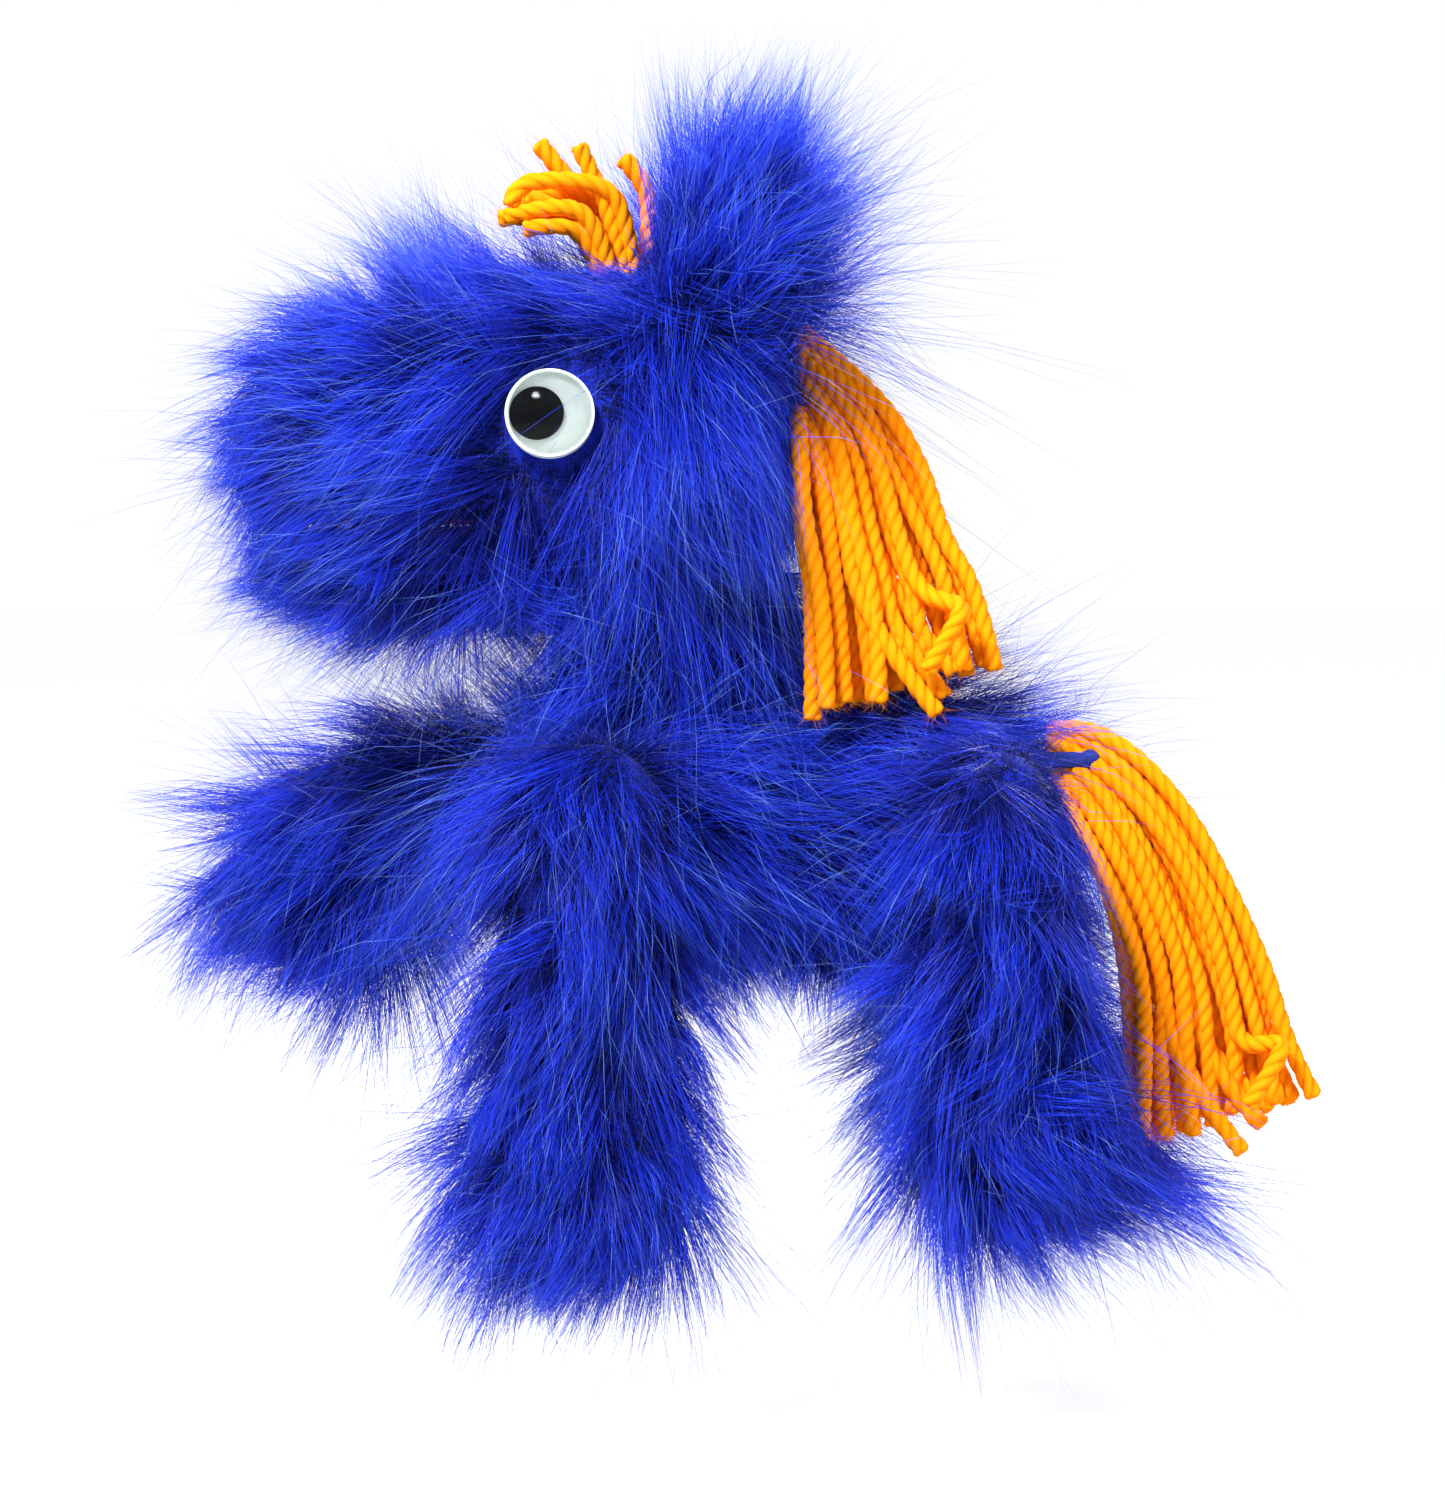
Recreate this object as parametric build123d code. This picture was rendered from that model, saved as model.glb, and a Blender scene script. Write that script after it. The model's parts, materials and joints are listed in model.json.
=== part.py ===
from build123d import *
import math
import os

# A plush pony hand puppet with a moving mouth. Millimetres.
# Origin: centre of the hand opening under the belly. +Z up, the pony faces -X, its left side is -Y.

# Cloth thicknesses and clearances
FUR_CLOTH = 3.0          # fur fabric with its flattened pile
LINING = 1.5             # woven lining
PACKING_GAP = 0.4        # between a cover and what fills it
MOVING_GAP = 0.4         # between pieces that move past each other
TOUCH_GAP = 0.1          # between sewn or glued pieces that lie against each other

# Body: a row of balls under one tight skin, (x, radius) from chest to rump
BODY_Z = 35.0
BODY_BALLS = [(-42.0, 24.0), (-11.5, 38.5), (23.5, 38.5), (59.0, 24.0)]

# Hand opening and sleeve
OPENING_RADIUS = 31.0
HEM_OUTER_RADIUS = 34.5
HEM_HALF_HEIGHT = 4.0
SLEEVE_TOP_RADIUS = 27.0
SLEEVE_TOP_Z = 44.0

# Neck: an upright tube that ends in a ball inside the head
NECK_X = -22.0
NECK_RADIUS = 29.0
NECK_BOTTOM_Z = 45.0
NECK_BALL_Z = 101.0
NECK_TOP_Z = 115.0
NECK_RELIEF_ANGLE = 26.0
NECK_SEAT_ROOM = 1.5     # bare of stuffing round the foot of the neck
NECK_OVERRUN = 2.0       # how far its hollow is drawn past each end, so that the tube is open
THUMB_SLOT_HALF_WIDTH = 13.0
THUMB_SLOT_Z = 92.6

# Head: muzzle and cranium balls under one skin, with the jaw cut away below the mouth line
HEAD_Z = 136.0
CRANIUM_X = -32.0
CRANIUM_RADIUS = 45.0
MUZZLE_X = -104.0
MUZZLE_RADIUS = 36.0

# Mouth and jaw
MOUTH_X = -68.0          # hinge line of the mouth
MOUTH_Z = 114.6
MOUTH_HALF_GAP = 0.6
FELT = 1.2
BOARD = 1.6
FOLD_RADIUS = 1.6
JAW_Z = 125.0
JAW_RADIUS = 35.0
JAW_REAR_X = -72.0
THROAT_RADIUS = 29.0     # space the back of the jaw sweeps as it opens
THROAT_HALF_WIDTH = 36.5
FINGER_POCKET_HALF_WIDTH = 25.5
FINGER_POCKET_HEIGHT = 20.0
FINGER_POCKET_REAR_X = -56.0
THUMB_POCKET_HALF_WIDTH = 13.0
THUMB_POCKET_FRONT_X = -112.0
THUMB_POCKET_Z = 97.5
JAW_BOARD_SETBACK = 4.0
FELT_RADIUS = 27.5       # inside both lips
POCKET_LAP = 0.8         # the board is this much narrower than its pocket
HEAD_FOAM_GAP = 1.4      # between the foam and the nodding neck

# Legs: all four are cut from one pattern
UPPER_LEG = 64.0         # hip centre to knee centre
LEG_RADIUS = 20.0
KNEE_BARE = 14.0         # length of the knee ball that the lower leg leaves bare
FOOT_RADIUS = 28.5
SOLE_RADIUS = 22.0
HIP_Y = 50.0
HIP_SEAM_RADIUS = 11.0
HIP_SEAM_END_Y = 13.0
HIP_SEAM_DEPTH = 3.0     # how far the seam is let into the leg
HIP_BALL_Y = 24.0        # middle of the seam's ball end, measured from the middle of the body
FRONT_SHIN = 80.0        # knee centre to sole
REAR_SHIN = 69.0
LEGS = {                 # name: (x, side, z, shin, outward turn, hip swing, knee bend), degrees
    "front_left": (-46.0, -1, 37.0, FRONT_SHIN, 0.0, 2.0, -2.0),
    "front_right": (-46.0, 1, 37.0, FRONT_SHIN, -22.0, 86.0, -40.0),
    "rear_left": (66.0, -1, 39.0, REAR_SHIN, 0.0, 2.0, -16.0),
    "rear_right": (66.0, 1, 39.0, REAR_SHIN, 0.0, 2.0, -16.0),
}

# Ears and yarn
EAR_RADIUS = 22.0
EAR_FOOT = (-12.0, 27.0, 171.0)
EAR_TIP = (-4.0, 33.0, 207.0)
FORELOCK_X = (-70.0, -34.0)
FORELOCK_Z = (172.0, 214.0)
FORELOCK_HALF_WIDTH = 11.0
FORELOCK_CORNER = 7.7
YARN_HALF_WIDTH = 12.0
MANE_OUTLINE = [         # (x, z) of the hanging yarn, outside the scalp
    (2, 160), (4, 169), (18, 168), (32, 155), (45, 127), (57, 97), (64, 79), (60, 74),
    (20, 74), (16, 87), (14.5, 102), (10, 118),
]
MANE_Y = -8.0            # the yarn is sewn on left of the middle
MANE_STAND_OFF = 2.2
MANE_LEAN = -12.0        # and falls to the left of the neck
MANE_LEAN_Z = 168.0
MANE_TAPE = 1.2
MANE_TAPE_HALF_WIDTH = 6.0
MANE_TAPE_ANGLES = (-12, 14, 40)
TAIL_PIVOT = (90.0, 50.0)
TAIL_ROOT_RADIUS = 9.0
TAIL_ROOT_HALF_WIDTH = 7.0
TAIL_LOOP_RADIUS = 3.0
TAIL_LOOP_HALF_WIDTH = 11.5
TAIL_ARM = 20.0
TAIL_ARM_RADIUS = 2.0
TAIL_ARM_Y = 9.3
TAIL_OUTLINE = [
    (90, 59), (99, 56), (116, 39), (130, 11), (141, -17), (150, -40), (140, -61),
    (120, -58), (102, -56), (100, -17), (95, 11), (89, 41),
]

# Eyes
EYE_X = -57.5
EYE_TILT = 11.0          # upward
EYE_RADIUS = 12.0
EYE_STAND_OFF = 2.4      # length of the sewing shank
EYE_BACK = 1.5
EYE_RIM = 1.6
EYE_RIM_WALL = 1.1
EYE_SHANK_RADIUS = 2.5
PUPIL_RADIUS = 7.2
PUPIL_OFFSET = 3.4       # the loose disc has slid to the front of the eye
PUPIL_THICKNESS = 0.8
PUPIL_GAP = 0.3
DOME_HEIGHT = 4.0
DOME_WALL = 0.8

BIG = 400.0


def turned(*edges):
    """The solid made by turning a closed outline, drawn as (radius, height), about +Z."""
    outline = edges[0]
    for edge in edges[1:]:
        outline += edge
    return revolve(Rot(90, 0, 0) * make_face(outline), Axis.Z)


def capsule(start, end, radius):
    """A rod with ball ends, from one ball centre to the other."""
    run = Vector(*end) - Vector(*start)
    length = run.length
    slant = radius * math.sqrt(0.5)
    rod = turned(
        ThreePointArc((0, -radius), (slant, -slant), (radius, 0)),
        Line((radius, 0), (radius, length)),
        ThreePointArc((radius, length), (slant, length + slant), (0, length + radius)),
        Line((0, length + radius), (0, -radius)),
    )
    return Plane(origin=start, z_dir=run) * rod


def rod_along_y(radius, x, z, low, high):
    return Pos(x, (low + high) / 2, z) * Rot(90, 0, 0) * Cylinder(radius, high - low)


def slab(outline, low, high):
    """An (x, z) outline given thickness from low to high along Y."""
    corners = [(x, low, z) for x, z in outline]
    return extrude(make_face(Polyline(*corners, close=True)), high - low, dir=(0, 1, 0))


def block(x, y, z):
    """A box between two values of x, of y and of z."""
    size = [high - low for low, high in (x, y, z)]
    middle = [(low + high) / 2 for low, high in (x, y, z)]
    return Pos(*middle) * Box(*size)


def below(z):
    return block((-BIG, BIG), (-BIG, BIG), (-BIG, z))


def above(z):
    return block((-BIG, BIG), (-BIG, BIG), (z, BIG))


def biggest(shape):
    """The largest solid, without any crumbs that a cut left beside it."""
    return max(shape.solids(), key=lambda solid: solid.volume)


def skin_over_balls(balls, z, inset):
    """The round solid that a tight skin over a row of balls makes, taken in evenly."""
    balls = [(x, radius - inset) for x, radius in balls]
    slopes = [math.pi]
    for (x, radius), (next_x, next_radius) in zip(balls, balls[1:]):
        slopes.append(math.acos((radius - next_radius) / (next_x - x)))
    slopes.append(0.0)
    outline = None
    for (x, radius), start, end in zip(balls, slopes, slopes[1:]):
        angles = (start, (start + end) / 2, end)
        points = [(x + radius * math.cos(a), radius * math.sin(a)) for a in angles]
        arc = ThreePointArc(*points)
        outline = arc if outline is None else outline + Line(outline_end, points[0]) + arc
        outline_end = points[2]
    first_x, first_radius = balls[0]
    outline += Line(outline_end, (first_x - first_radius, 0))
    return Pos(0, 0, z) * revolve(make_face(outline), Axis.X)


def body_blank(inset):
    return skin_over_balls(BODY_BALLS, BODY_Z, inset)


def sleeve_blank(extra):
    """The slanting passage from the hand opening to the foot of the neck."""
    bottom = Pos(0, 0, HEM_HALF_HEIGHT) * Circle(OPENING_RADIUS + extra)
    top = Pos(NECK_X, 0, SLEEVE_TOP_Z) * Circle(SLEEVE_TOP_RADIUS + extra)
    return loft([bottom, top])


def neck_blank(radius, spare=0.0):
    """The upright neck tube with its ball top, filled, and longer at both ends by any spare."""
    bottom = NECK_BOTTOM_Z - spare
    top_height = NECK_TOP_Z - NECK_BALL_Z + spare
    top_angle = math.asin(top_height / radius)
    top = (radius * math.cos(top_angle), NECK_TOP_Z + spare)
    middle = (radius * math.cos(top_angle / 2), NECK_BALL_Z + radius * math.sin(top_angle / 2))
    return Pos(NECK_X, 0, 0) * turned(
        Polyline((0, top[1]), (0, bottom), (radius, bottom), (radius, NECK_BALL_Z)),
        ThreePointArc((radius, NECK_BALL_Z), middle, top),
        Line(top, (0, top[1])),
    )


def body_pieces():
    ring_radius = HEM_OUTER_RADIUS + MOVING_GAP
    entry = below(HEM_HALF_HEIGHT + PACKING_GAP) & Cylinder(ring_radius, BIG)
    seat = Pos(NECK_X, 0, 0) * Cylinder(NECK_RADIUS + MOVING_GAP, BIG)
    wide_seat = Pos(NECK_X, 0, 0) * Cylinder(NECK_RADIUS + NECK_SEAT_ROOM, BIG)
    passage = sleeve_blank(LINING + PACKING_GAP / 2)
    cover = body_blank(0) - body_blank(FUR_CLOTH) - passage - entry
    cover -= seat & above(NECK_BOTTOM_Z - MOVING_GAP)
    stuffing = body_blank(FUR_CLOTH + PACKING_GAP) - passage - entry
    stuffing -= wide_seat & above(NECK_BOTTOM_Z - NECK_SEAT_ROOM)
    sleeve = sleeve_blank(LINING) - sleeve_blank(0)
    hem = Cylinder(HEM_OUTER_RADIUS, 2 * HEM_HALF_HEIGHT)
    hem -= Cylinder(OPENING_RADIUS, 3 * HEM_HALF_HEIGHT)
    return {
        "body_fur_cover": cover,
        "body_stuffing": stuffing,
        "hand_sleeve_lining": sleeve,
        "opening_hem_band": hem,
        "tail_loop": tail_loop(),
    }


def tail_loop():
    """The cord loop on the rump that the tail yarn is folded over."""
    x, z = TAIL_PIVOT
    loop = rod_along_y(TAIL_LOOP_RADIUS, x, z, -TAIL_LOOP_HALF_WIDTH, TAIL_LOOP_HALF_WIDTH)
    for side in (-1, 1):
        arm = Rot(0, 90, 0) * Cylinder(TAIL_ARM_RADIUS, TAIL_ARM)
        loop += Pos(x - TAIL_ARM / 2, side * TAIL_ARM_Y, z) * arm
    return biggest(loop - body_blank(-TOUCH_GAP))


def neck_pieces():
    thumb_slot = block(
        (-BIG, NECK_X - THUMB_SLOT_HALF_WIDTH),
        (-THUMB_SLOT_HALF_WIDTH, THUMB_SLOT_HALF_WIDTH),
        (THUMB_SLOT_Z, BIG),
    )
    lining_radius = NECK_RADIUS - LINING - PACKING_GAP
    cover = neck_blank(NECK_RADIUS) - neck_blank(NECK_RADIUS - LINING, NECK_OVERRUN)
    lining = neck_blank(lining_radius) - neck_blank(lining_radius - LINING, NECK_OVERRUN)
    return {"neck_fur_cover": cover - thumb_slot, "neck_lining": lining - thumb_slot}


def head_blank(inset):
    balls = [(MUZZLE_X, MUZZLE_RADIUS), (CRANIUM_X, CRANIUM_RADIUS)]
    return skin_over_balls(balls, HEAD_Z, inset)


def neck_room():
    """What the head leaves free round the neck so that it can nod."""
    ball = Pos(NECK_X, 0, NECK_BALL_Z) * Sphere(NECK_RADIUS + MOVING_GAP)
    depth = 40.0
    top_radius = NECK_RADIUS + MOVING_GAP + 0.2
    flare = top_radius + depth * math.tan(math.radians(NECK_RELIEF_ANGLE))
    cone = Pos(NECK_X, 0, NECK_BALL_Z - depth / 2) * Cone(flare, top_radius, depth)
    return ball + cone


def throat_room():
    """What the head leaves free for the jaw: all below the mouth line, and the throat."""
    mouth_line = MOUTH_Z + MOUTH_HALF_GAP
    front = block((-BIG, MOUTH_X + 2), (-BIG, BIG), (-BIG, mouth_line + FELT))
    sweep = rod_along_y(THROAT_RADIUS, MOUTH_X, MOUTH_Z, -THROAT_HALF_WIDTH, THROAT_HALF_WIDTH)
    return front + (sweep & below(mouth_line + FELT))


def mouth_sheet(radius, rear_x, low, high):
    """A flat piece of the mouth: straight at the hinge, round at the lips."""
    disc = Pos(MUZZLE_X, 0, (low + high) / 2) * Cylinder(radius, high - low)
    strip = block((MUZZLE_X, rear_x), (-radius, radius), (low, high))
    return (disc & block((-BIG, MUZZLE_X), (-BIG, BIG), (low, high))) + strip


def head_pieces():
    felt_low = MOUTH_Z + MOUTH_HALF_GAP
    board_low = felt_low + FELT + TOUCH_GAP
    pocket_low = board_low + BOARD + TOUCH_GAP
    pocket_high = pocket_low + FINGER_POCKET_HEIGHT
    rear_x = MOUTH_X - 2
    cover = head_blank(0) - head_blank(FUR_CLOTH) - neck_room() - throat_room()
    felt = mouth_sheet(FELT_RADIUS, rear_x, felt_low, felt_low + FELT - TOUCH_GAP)
    board_radius = FINGER_POCKET_HALF_WIDTH - POCKET_LAP
    board = mouth_sheet(board_radius, rear_x, board_low, board_low + BOARD)
    pocket = mouth_sheet(
        FINGER_POCKET_HALF_WIDTH, FINGER_POCKET_REAR_X, pocket_low, pocket_high
    )
    pocket -= mouth_sheet(
        FINGER_POCKET_HALF_WIDTH - LINING,
        FINGER_POCKET_REAR_X + 5,
        pocket_low + LINING,
        pocket_high - LINING,
    )
    foam = head_blank(FUR_CLOTH + PACKING_GAP) & above(pocket_high + PACKING_GAP)
    foam -= Pos(NECK_X, 0, NECK_BALL_Z) * Sphere(NECK_RADIUS + HEAD_FOAM_GAP)
    fold = rod_along_y(FOLD_RADIUS, MOUTH_X, MOUTH_Z, -FELT_RADIUS, FELT_RADIUS)
    pieces = {
        "head_fur_cover": cover,
        "head_foam_block": foam,
        "finger_pocket": pocket,
        "upper_mouth_board": board,
        "upper_mouth_felt": felt,
        "mouth_fold": fold,
        "forelock_yarn": forelock(),
        "mane_yarn": mane(),
        "mane_tape": mane_tape(),
    }
    for name, side in (("left", -1), ("right", 1)):
        pieces[name + "_ear"] = ear(side) - head_blank(-TOUCH_GAP)
        pieces[name + "_eye_base"] = eye_base(side)
        pieces[name + "_eye_dome"] = eye_dome(side)
    return pieces


def ear(side, extra=0.0):
    """One ear before the head is cut out of it."""
    foot = (EAR_FOOT[0], side * EAR_FOOT[1], EAR_FOOT[2])
    tip = (EAR_TIP[0], side * EAR_TIP[1], EAR_TIP[2])
    return capsule(foot, tip, EAR_RADIUS + extra)


def forelock():
    bundle = block(FORELOCK_X, (-FORELOCK_HALF_WIDTH, FORELOCK_HALF_WIDTH), FORELOCK_Z)
    bundle = fillet(bundle.edges().filter_by(Axis.Z), FORELOCK_CORNER)
    return bundle - head_blank(-TOUCH_GAP) - ear(-1, MOVING_GAP) - ear(1, MOVING_GAP)


def mane():
    """The mane as one closed bundle, leaning to the left."""
    bundle = slab(MANE_OUTLINE, -YARN_HALF_WIDTH, YARN_HALF_WIDTH)
    bundle -= rod_along_y(CRANIUM_RADIUS + MANE_STAND_OFF, CRANIUM_X, HEAD_Z, -BIG / 2, BIG / 2)
    turn = Pos(0, MANE_Y, MANE_LEAN_Z) * Rot(MANE_LEAN, 0, 0) * Pos(0, 0, -MANE_LEAN_Z)
    return turn * bundle - head_blank(-MANE_STAND_OFF) - ear(-1, MOVING_GAP) - ear(1, MOVING_GAP)


def mane_tape():
    """The strip on the scalp that the mane yarn is sewn to."""
    half = MANE_TAPE_HALF_WIDTH
    inner = CRANIUM_RADIUS + TOUCH_GAP
    tape = rod_along_y(inner + MANE_TAPE, CRANIUM_X, HEAD_Z, -half, half)
    tape -= rod_along_y(inner, CRANIUM_X, HEAD_Z, -half, half)
    fan = [(CRANIUM_X, HEAD_Z)]
    for angle in MANE_TAPE_ANGLES:
        reach = 2 * CRANIUM_RADIUS
        turn = math.radians(angle)
        fan.append((CRANIUM_X + reach * math.cos(turn), HEAD_Z + reach * math.sin(turn)))
    return tape & slab(fan, -half, half)


def eye_frame(side):
    """A plane on the side of the head whose normal is the way the eye looks out."""
    back = CRANIUM_RADIUS
    slope = math.asin((back - MUZZLE_RADIUS) / (CRANIUM_X - MUZZLE_X))
    radius = (back - (CRANIUM_X - EYE_X) * math.sin(slope)) / math.cos(slope)
    tilt = math.radians(EYE_TILT)
    out = (0, side * math.cos(tilt), math.sin(tilt))
    origin = (EYE_X, radius * out[1], HEAD_Z + radius * out[2])
    return Plane(origin=origin, x_dir=(-1, 0, 0), z_dir=out)


def eye_base(side):
    """White back disc with a raised rim and a sewing shank behind it."""
    shank = Pos(0, 0, EYE_STAND_OFF / 2 + MOVING_GAP) * Cylinder(EYE_SHANK_RADIUS, EYE_STAND_OFF)
    back_middle = EYE_STAND_OFF + EYE_BACK / 2
    disc = Pos(0, 0, back_middle) * Cylinder(EYE_RADIUS, EYE_BACK)
    rim_middle = EYE_STAND_OFF + EYE_BACK + EYE_RIM / 2
    rim = Pos(0, 0, rim_middle) * Cylinder(EYE_RADIUS, EYE_RIM)
    rim -= Pos(0, 0, rim_middle) * Cylinder(EYE_RADIUS - EYE_RIM_WALL, 2 * EYE_RIM)
    return eye_frame(side) * (shank + disc + rim)


def eye_dome(side):
    """Clear cover that stands on the rim."""
    foot = EYE_RADIUS - EYE_RIM_WALL / 2
    ball = (foot**2 + DOME_HEIGHT**2) / (2 * DOME_HEIGHT)
    base = EYE_STAND_OFF + EYE_BACK + EYE_RIM + TOUCH_GAP / 2
    centre = Pos(0, 0, base + DOME_HEIGHT - ball)
    shell = centre * Sphere(ball) - centre * Sphere(ball - DOME_WALL)
    return eye_frame(side) * (shell & above(base))


def pupil(side):
    low = EYE_STAND_OFF + EYE_BACK + PUPIL_GAP
    disc = Pos(PUPIL_OFFSET, 0, low + PUPIL_THICKNESS / 2)
    return eye_frame(side) * (disc * Cylinder(PUPIL_RADIUS, PUPIL_THICKNESS))


def jaw_blank(inset):
    """The lower muzzle: a ball that runs back as a rod, cut at the mouth line and the throat."""
    radius = JAW_RADIUS - inset
    rear_x = JAW_REAR_X - inset
    length = rear_x - MUZZLE_X
    slant = radius * math.sqrt(0.5)
    rod = turned(
        ThreePointArc((0, -radius), (slant, -slant), (radius, 0)),
        Polyline((radius, 0), (radius, length), (0, length), (0, -radius)),
    )
    shape = Plane(origin=(MUZZLE_X, 0, JAW_Z), z_dir=(1, 0, 0)) * rod
    chamfer = slab(
        [(rear_x + 8, MOUTH_Z), (rear_x - 12, JAW_Z - JAW_RADIUS - 8), (rear_x + 20, 60)],
        -BIG / 2,
        BIG / 2,
    )
    return shape - chamfer


def jaw_pieces():
    felt_high = MOUTH_Z - MOUTH_HALF_GAP
    board_high = felt_high - FELT - TOUCH_GAP
    pocket_high = board_high - BOARD - TOUCH_GAP
    felt = mouth_sheet(FELT_RADIUS, JAW_REAR_X, felt_high - FELT + TOUCH_GAP, felt_high)
    board_rear_x = JAW_REAR_X - JAW_BOARD_SETBACK
    board = mouth_sheet(FINGER_POCKET_HALF_WIDTH, board_rear_x, board_high - BOARD, board_high)
    pocket = thumb_box(0, board_rear_x + 1, THUMB_POCKET_Z, pocket_high)
    hollow = thumb_box(-LINING, 0, THUMB_POCKET_Z + LINING, pocket_high - LINING)
    room = thumb_box(MOVING_GAP, 0, THUMB_POCKET_Z - MOVING_GAP, MOUTH_Z)
    way_in = block(
        (MUZZLE_X + THUMB_SLOT_HALF_WIDTH, 0),
        (-THUMB_POCKET_HALF_WIDTH, THUMB_POCKET_HALF_WIDTH),
        (THUMB_POCKET_Z, pocket_high),
    )
    cover = (jaw_blank(0) - jaw_blank(FUR_CLOTH)) & below(felt_high - FELT)
    padding = (jaw_blank(FUR_CLOTH + PACKING_GAP) & below(pocket_high - TOUCH_GAP)) - room
    return {
        "jaw_fur_cover": cover - way_in,
        "jaw_padding": padding,
        "thumb_pocket": (pocket - hollow) & jaw_blank(-0.5),
        "lower_mouth_board": board,
        "lower_mouth_felt": felt,
    }


def thumb_box(extra, rear_x, low, high):
    """The thumb pocket's outline grown sideways and forward by any extra, back to a given x."""
    half = THUMB_POCKET_HALF_WIDTH + extra
    return block((THUMB_POCKET_FRONT_X - extra, rear_x), (-half, half), (low, high))


def lower_leg_blank(inset, shin):
    """Shin and foot turned about the leg's own axis, knee centre at the origin, sole down."""
    outline = [
        (LEG_RADIUS - inset, -KNEE_BARE - inset),
        (LEG_RADIUS + 0.5 - inset, -0.4 * shin),
        (FOOT_RADIUS - 4.5 - inset, -0.62 * shin),
        (FOOT_RADIUS - inset, -0.82 * shin),
        (SOLE_RADIUS - inset, -shin + inset),
    ]
    side = Spline(*outline, tangents=[(0, -1), (-1, -0.6)])
    top = (0, outline[0][1])
    bottom = (0, outline[-1][1])
    shape = turned(side, Polyline(outline[-1], bottom, top, outline[0]))
    return shape - Sphere(LEG_RADIUS + MOVING_GAP + inset)


def hip_seam(hip, facing, side):
    """The sewn root of a leg: a round peg that runs straight into the body, with a ball at the bend."""
    reach = HIP_Y - HIP_BALL_Y
    peg = rod_along_y(HIP_SEAM_RADIUS, 0, 0, LEG_RADIUS - HIP_SEAM_DEPTH, reach)
    peg += Pos(0, reach, 0) * (Sphere(HIP_SEAM_RADIUS) & above_y(0))
    bend = (hip * facing * Pos(0, reach, 0)).position
    straight = rod_along_y(HIP_SEAM_RADIUS, bend.X, bend.Z, HIP_SEAM_END_Y, abs(bend.Y))
    if side < 0:
        straight = mirror(straight, Plane.XZ)
    return biggest(hip * facing * peg + straight - body_blank(-TOUCH_GAP))


def leg_pieces(name, x, side, z, shin, turn, swing, bend):
    """One leg: upper and lower cover, their stuffing, and the seam that joins it to the body."""
    outer = capsule((0, 0, 0), (0, 0, -UPPER_LEG), LEG_RADIUS)
    inner = capsule((0, 0, 0), (0, 0, -UPPER_LEG), LEG_RADIUS - FUR_CLOTH)
    filling = capsule((0, 0, 0), (0, 0, -UPPER_LEG), LEG_RADIUS - FUR_CLOTH - PACKING_GAP)
    socket_bottom = LEG_RADIUS - HIP_SEAM_DEPTH - MOVING_GAP
    socket = rod_along_y(HIP_SEAM_RADIUS + MOVING_GAP, 0, 0, socket_bottom, BIG / 4)
    facing = Rot(0, 0, 0 if side < 0 else 180)
    hip = Pos(x, side * HIP_Y, z) * Rot(0, 0, turn)
    upper_place = hip * Rot(0, swing, 0)
    lower_place = upper_place * Pos(0, 0, -UPPER_LEG) * Rot(0, bend, 0)
    lower_cover = lower_leg_blank(0, shin) - lower_leg_blank(FUR_CLOTH, shin)
    lower_filling = lower_leg_blank(FUR_CLOTH + PACKING_GAP, shin)
    return {
        name + "_upper_leg_cover": upper_place * (outer - inner - facing * socket),
        name + "_upper_leg_stuffing": upper_place * (filling - facing * socket),
        name + "_lower_leg_cover": lower_place * lower_cover,
        name + "_lower_leg_stuffing": lower_place * lower_filling,
        name + "_hip_seam": hip_seam(hip, facing, side),
    }


def above_y(y):
    return block((-BIG, BIG), (y, BIG), (-BIG, BIG))


def tail():
    """The tail as one closed bundle, hung on the rump's loop."""
    x, z = TAIL_PIVOT
    bundle = slab(TAIL_OUTLINE, -YARN_HALF_WIDTH, YARN_HALF_WIDTH)
    bundle += rod_along_y(TAIL_ROOT_RADIUS, x, z, -YARN_HALF_WIDTH, YARN_HALF_WIDTH)
    for side in (-1, 1):
        beside_root = sorted((side * TAIL_ROOT_HALF_WIDTH, side * 2 * YARN_HALF_WIDTH))
        bundle -= block((x - 20, x + 8), beside_root, (z - 12, z + 20))
    return bundle - rod_along_y(TAIL_LOOP_RADIUS + MOVING_GAP, x, z, -BIG / 4, BIG / 4)


def main():
    pieces = {}
    pieces.update(body_pieces())
    pieces.update(neck_pieces())
    pieces.update(head_pieces())
    pieces.update(jaw_pieces())
    for name, side in (("left", -1), ("right", 1)):
        pieces[name + "_pupil"] = pupil(side)
    for name, place in LEGS.items():
        pieces.update(leg_pieces(name, *place))
    pieces["tail_yarn"] = tail()
    os.makedirs("parts", exist_ok=True)
    for name, shape in pieces.items():
        export_step(shape, f"parts/{name}.step")
        print(name, len(shape.solids()), round(shape.volume))


if __name__ == "__main__":
    main()
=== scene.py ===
"""Moving mouth pony puppet: the visual model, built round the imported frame. Metres, +Z up, facing -X."""
import json
import math

import bmesh
import bpy
import numpy as np
from mathutils import Matrix, Vector, kdtree


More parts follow.
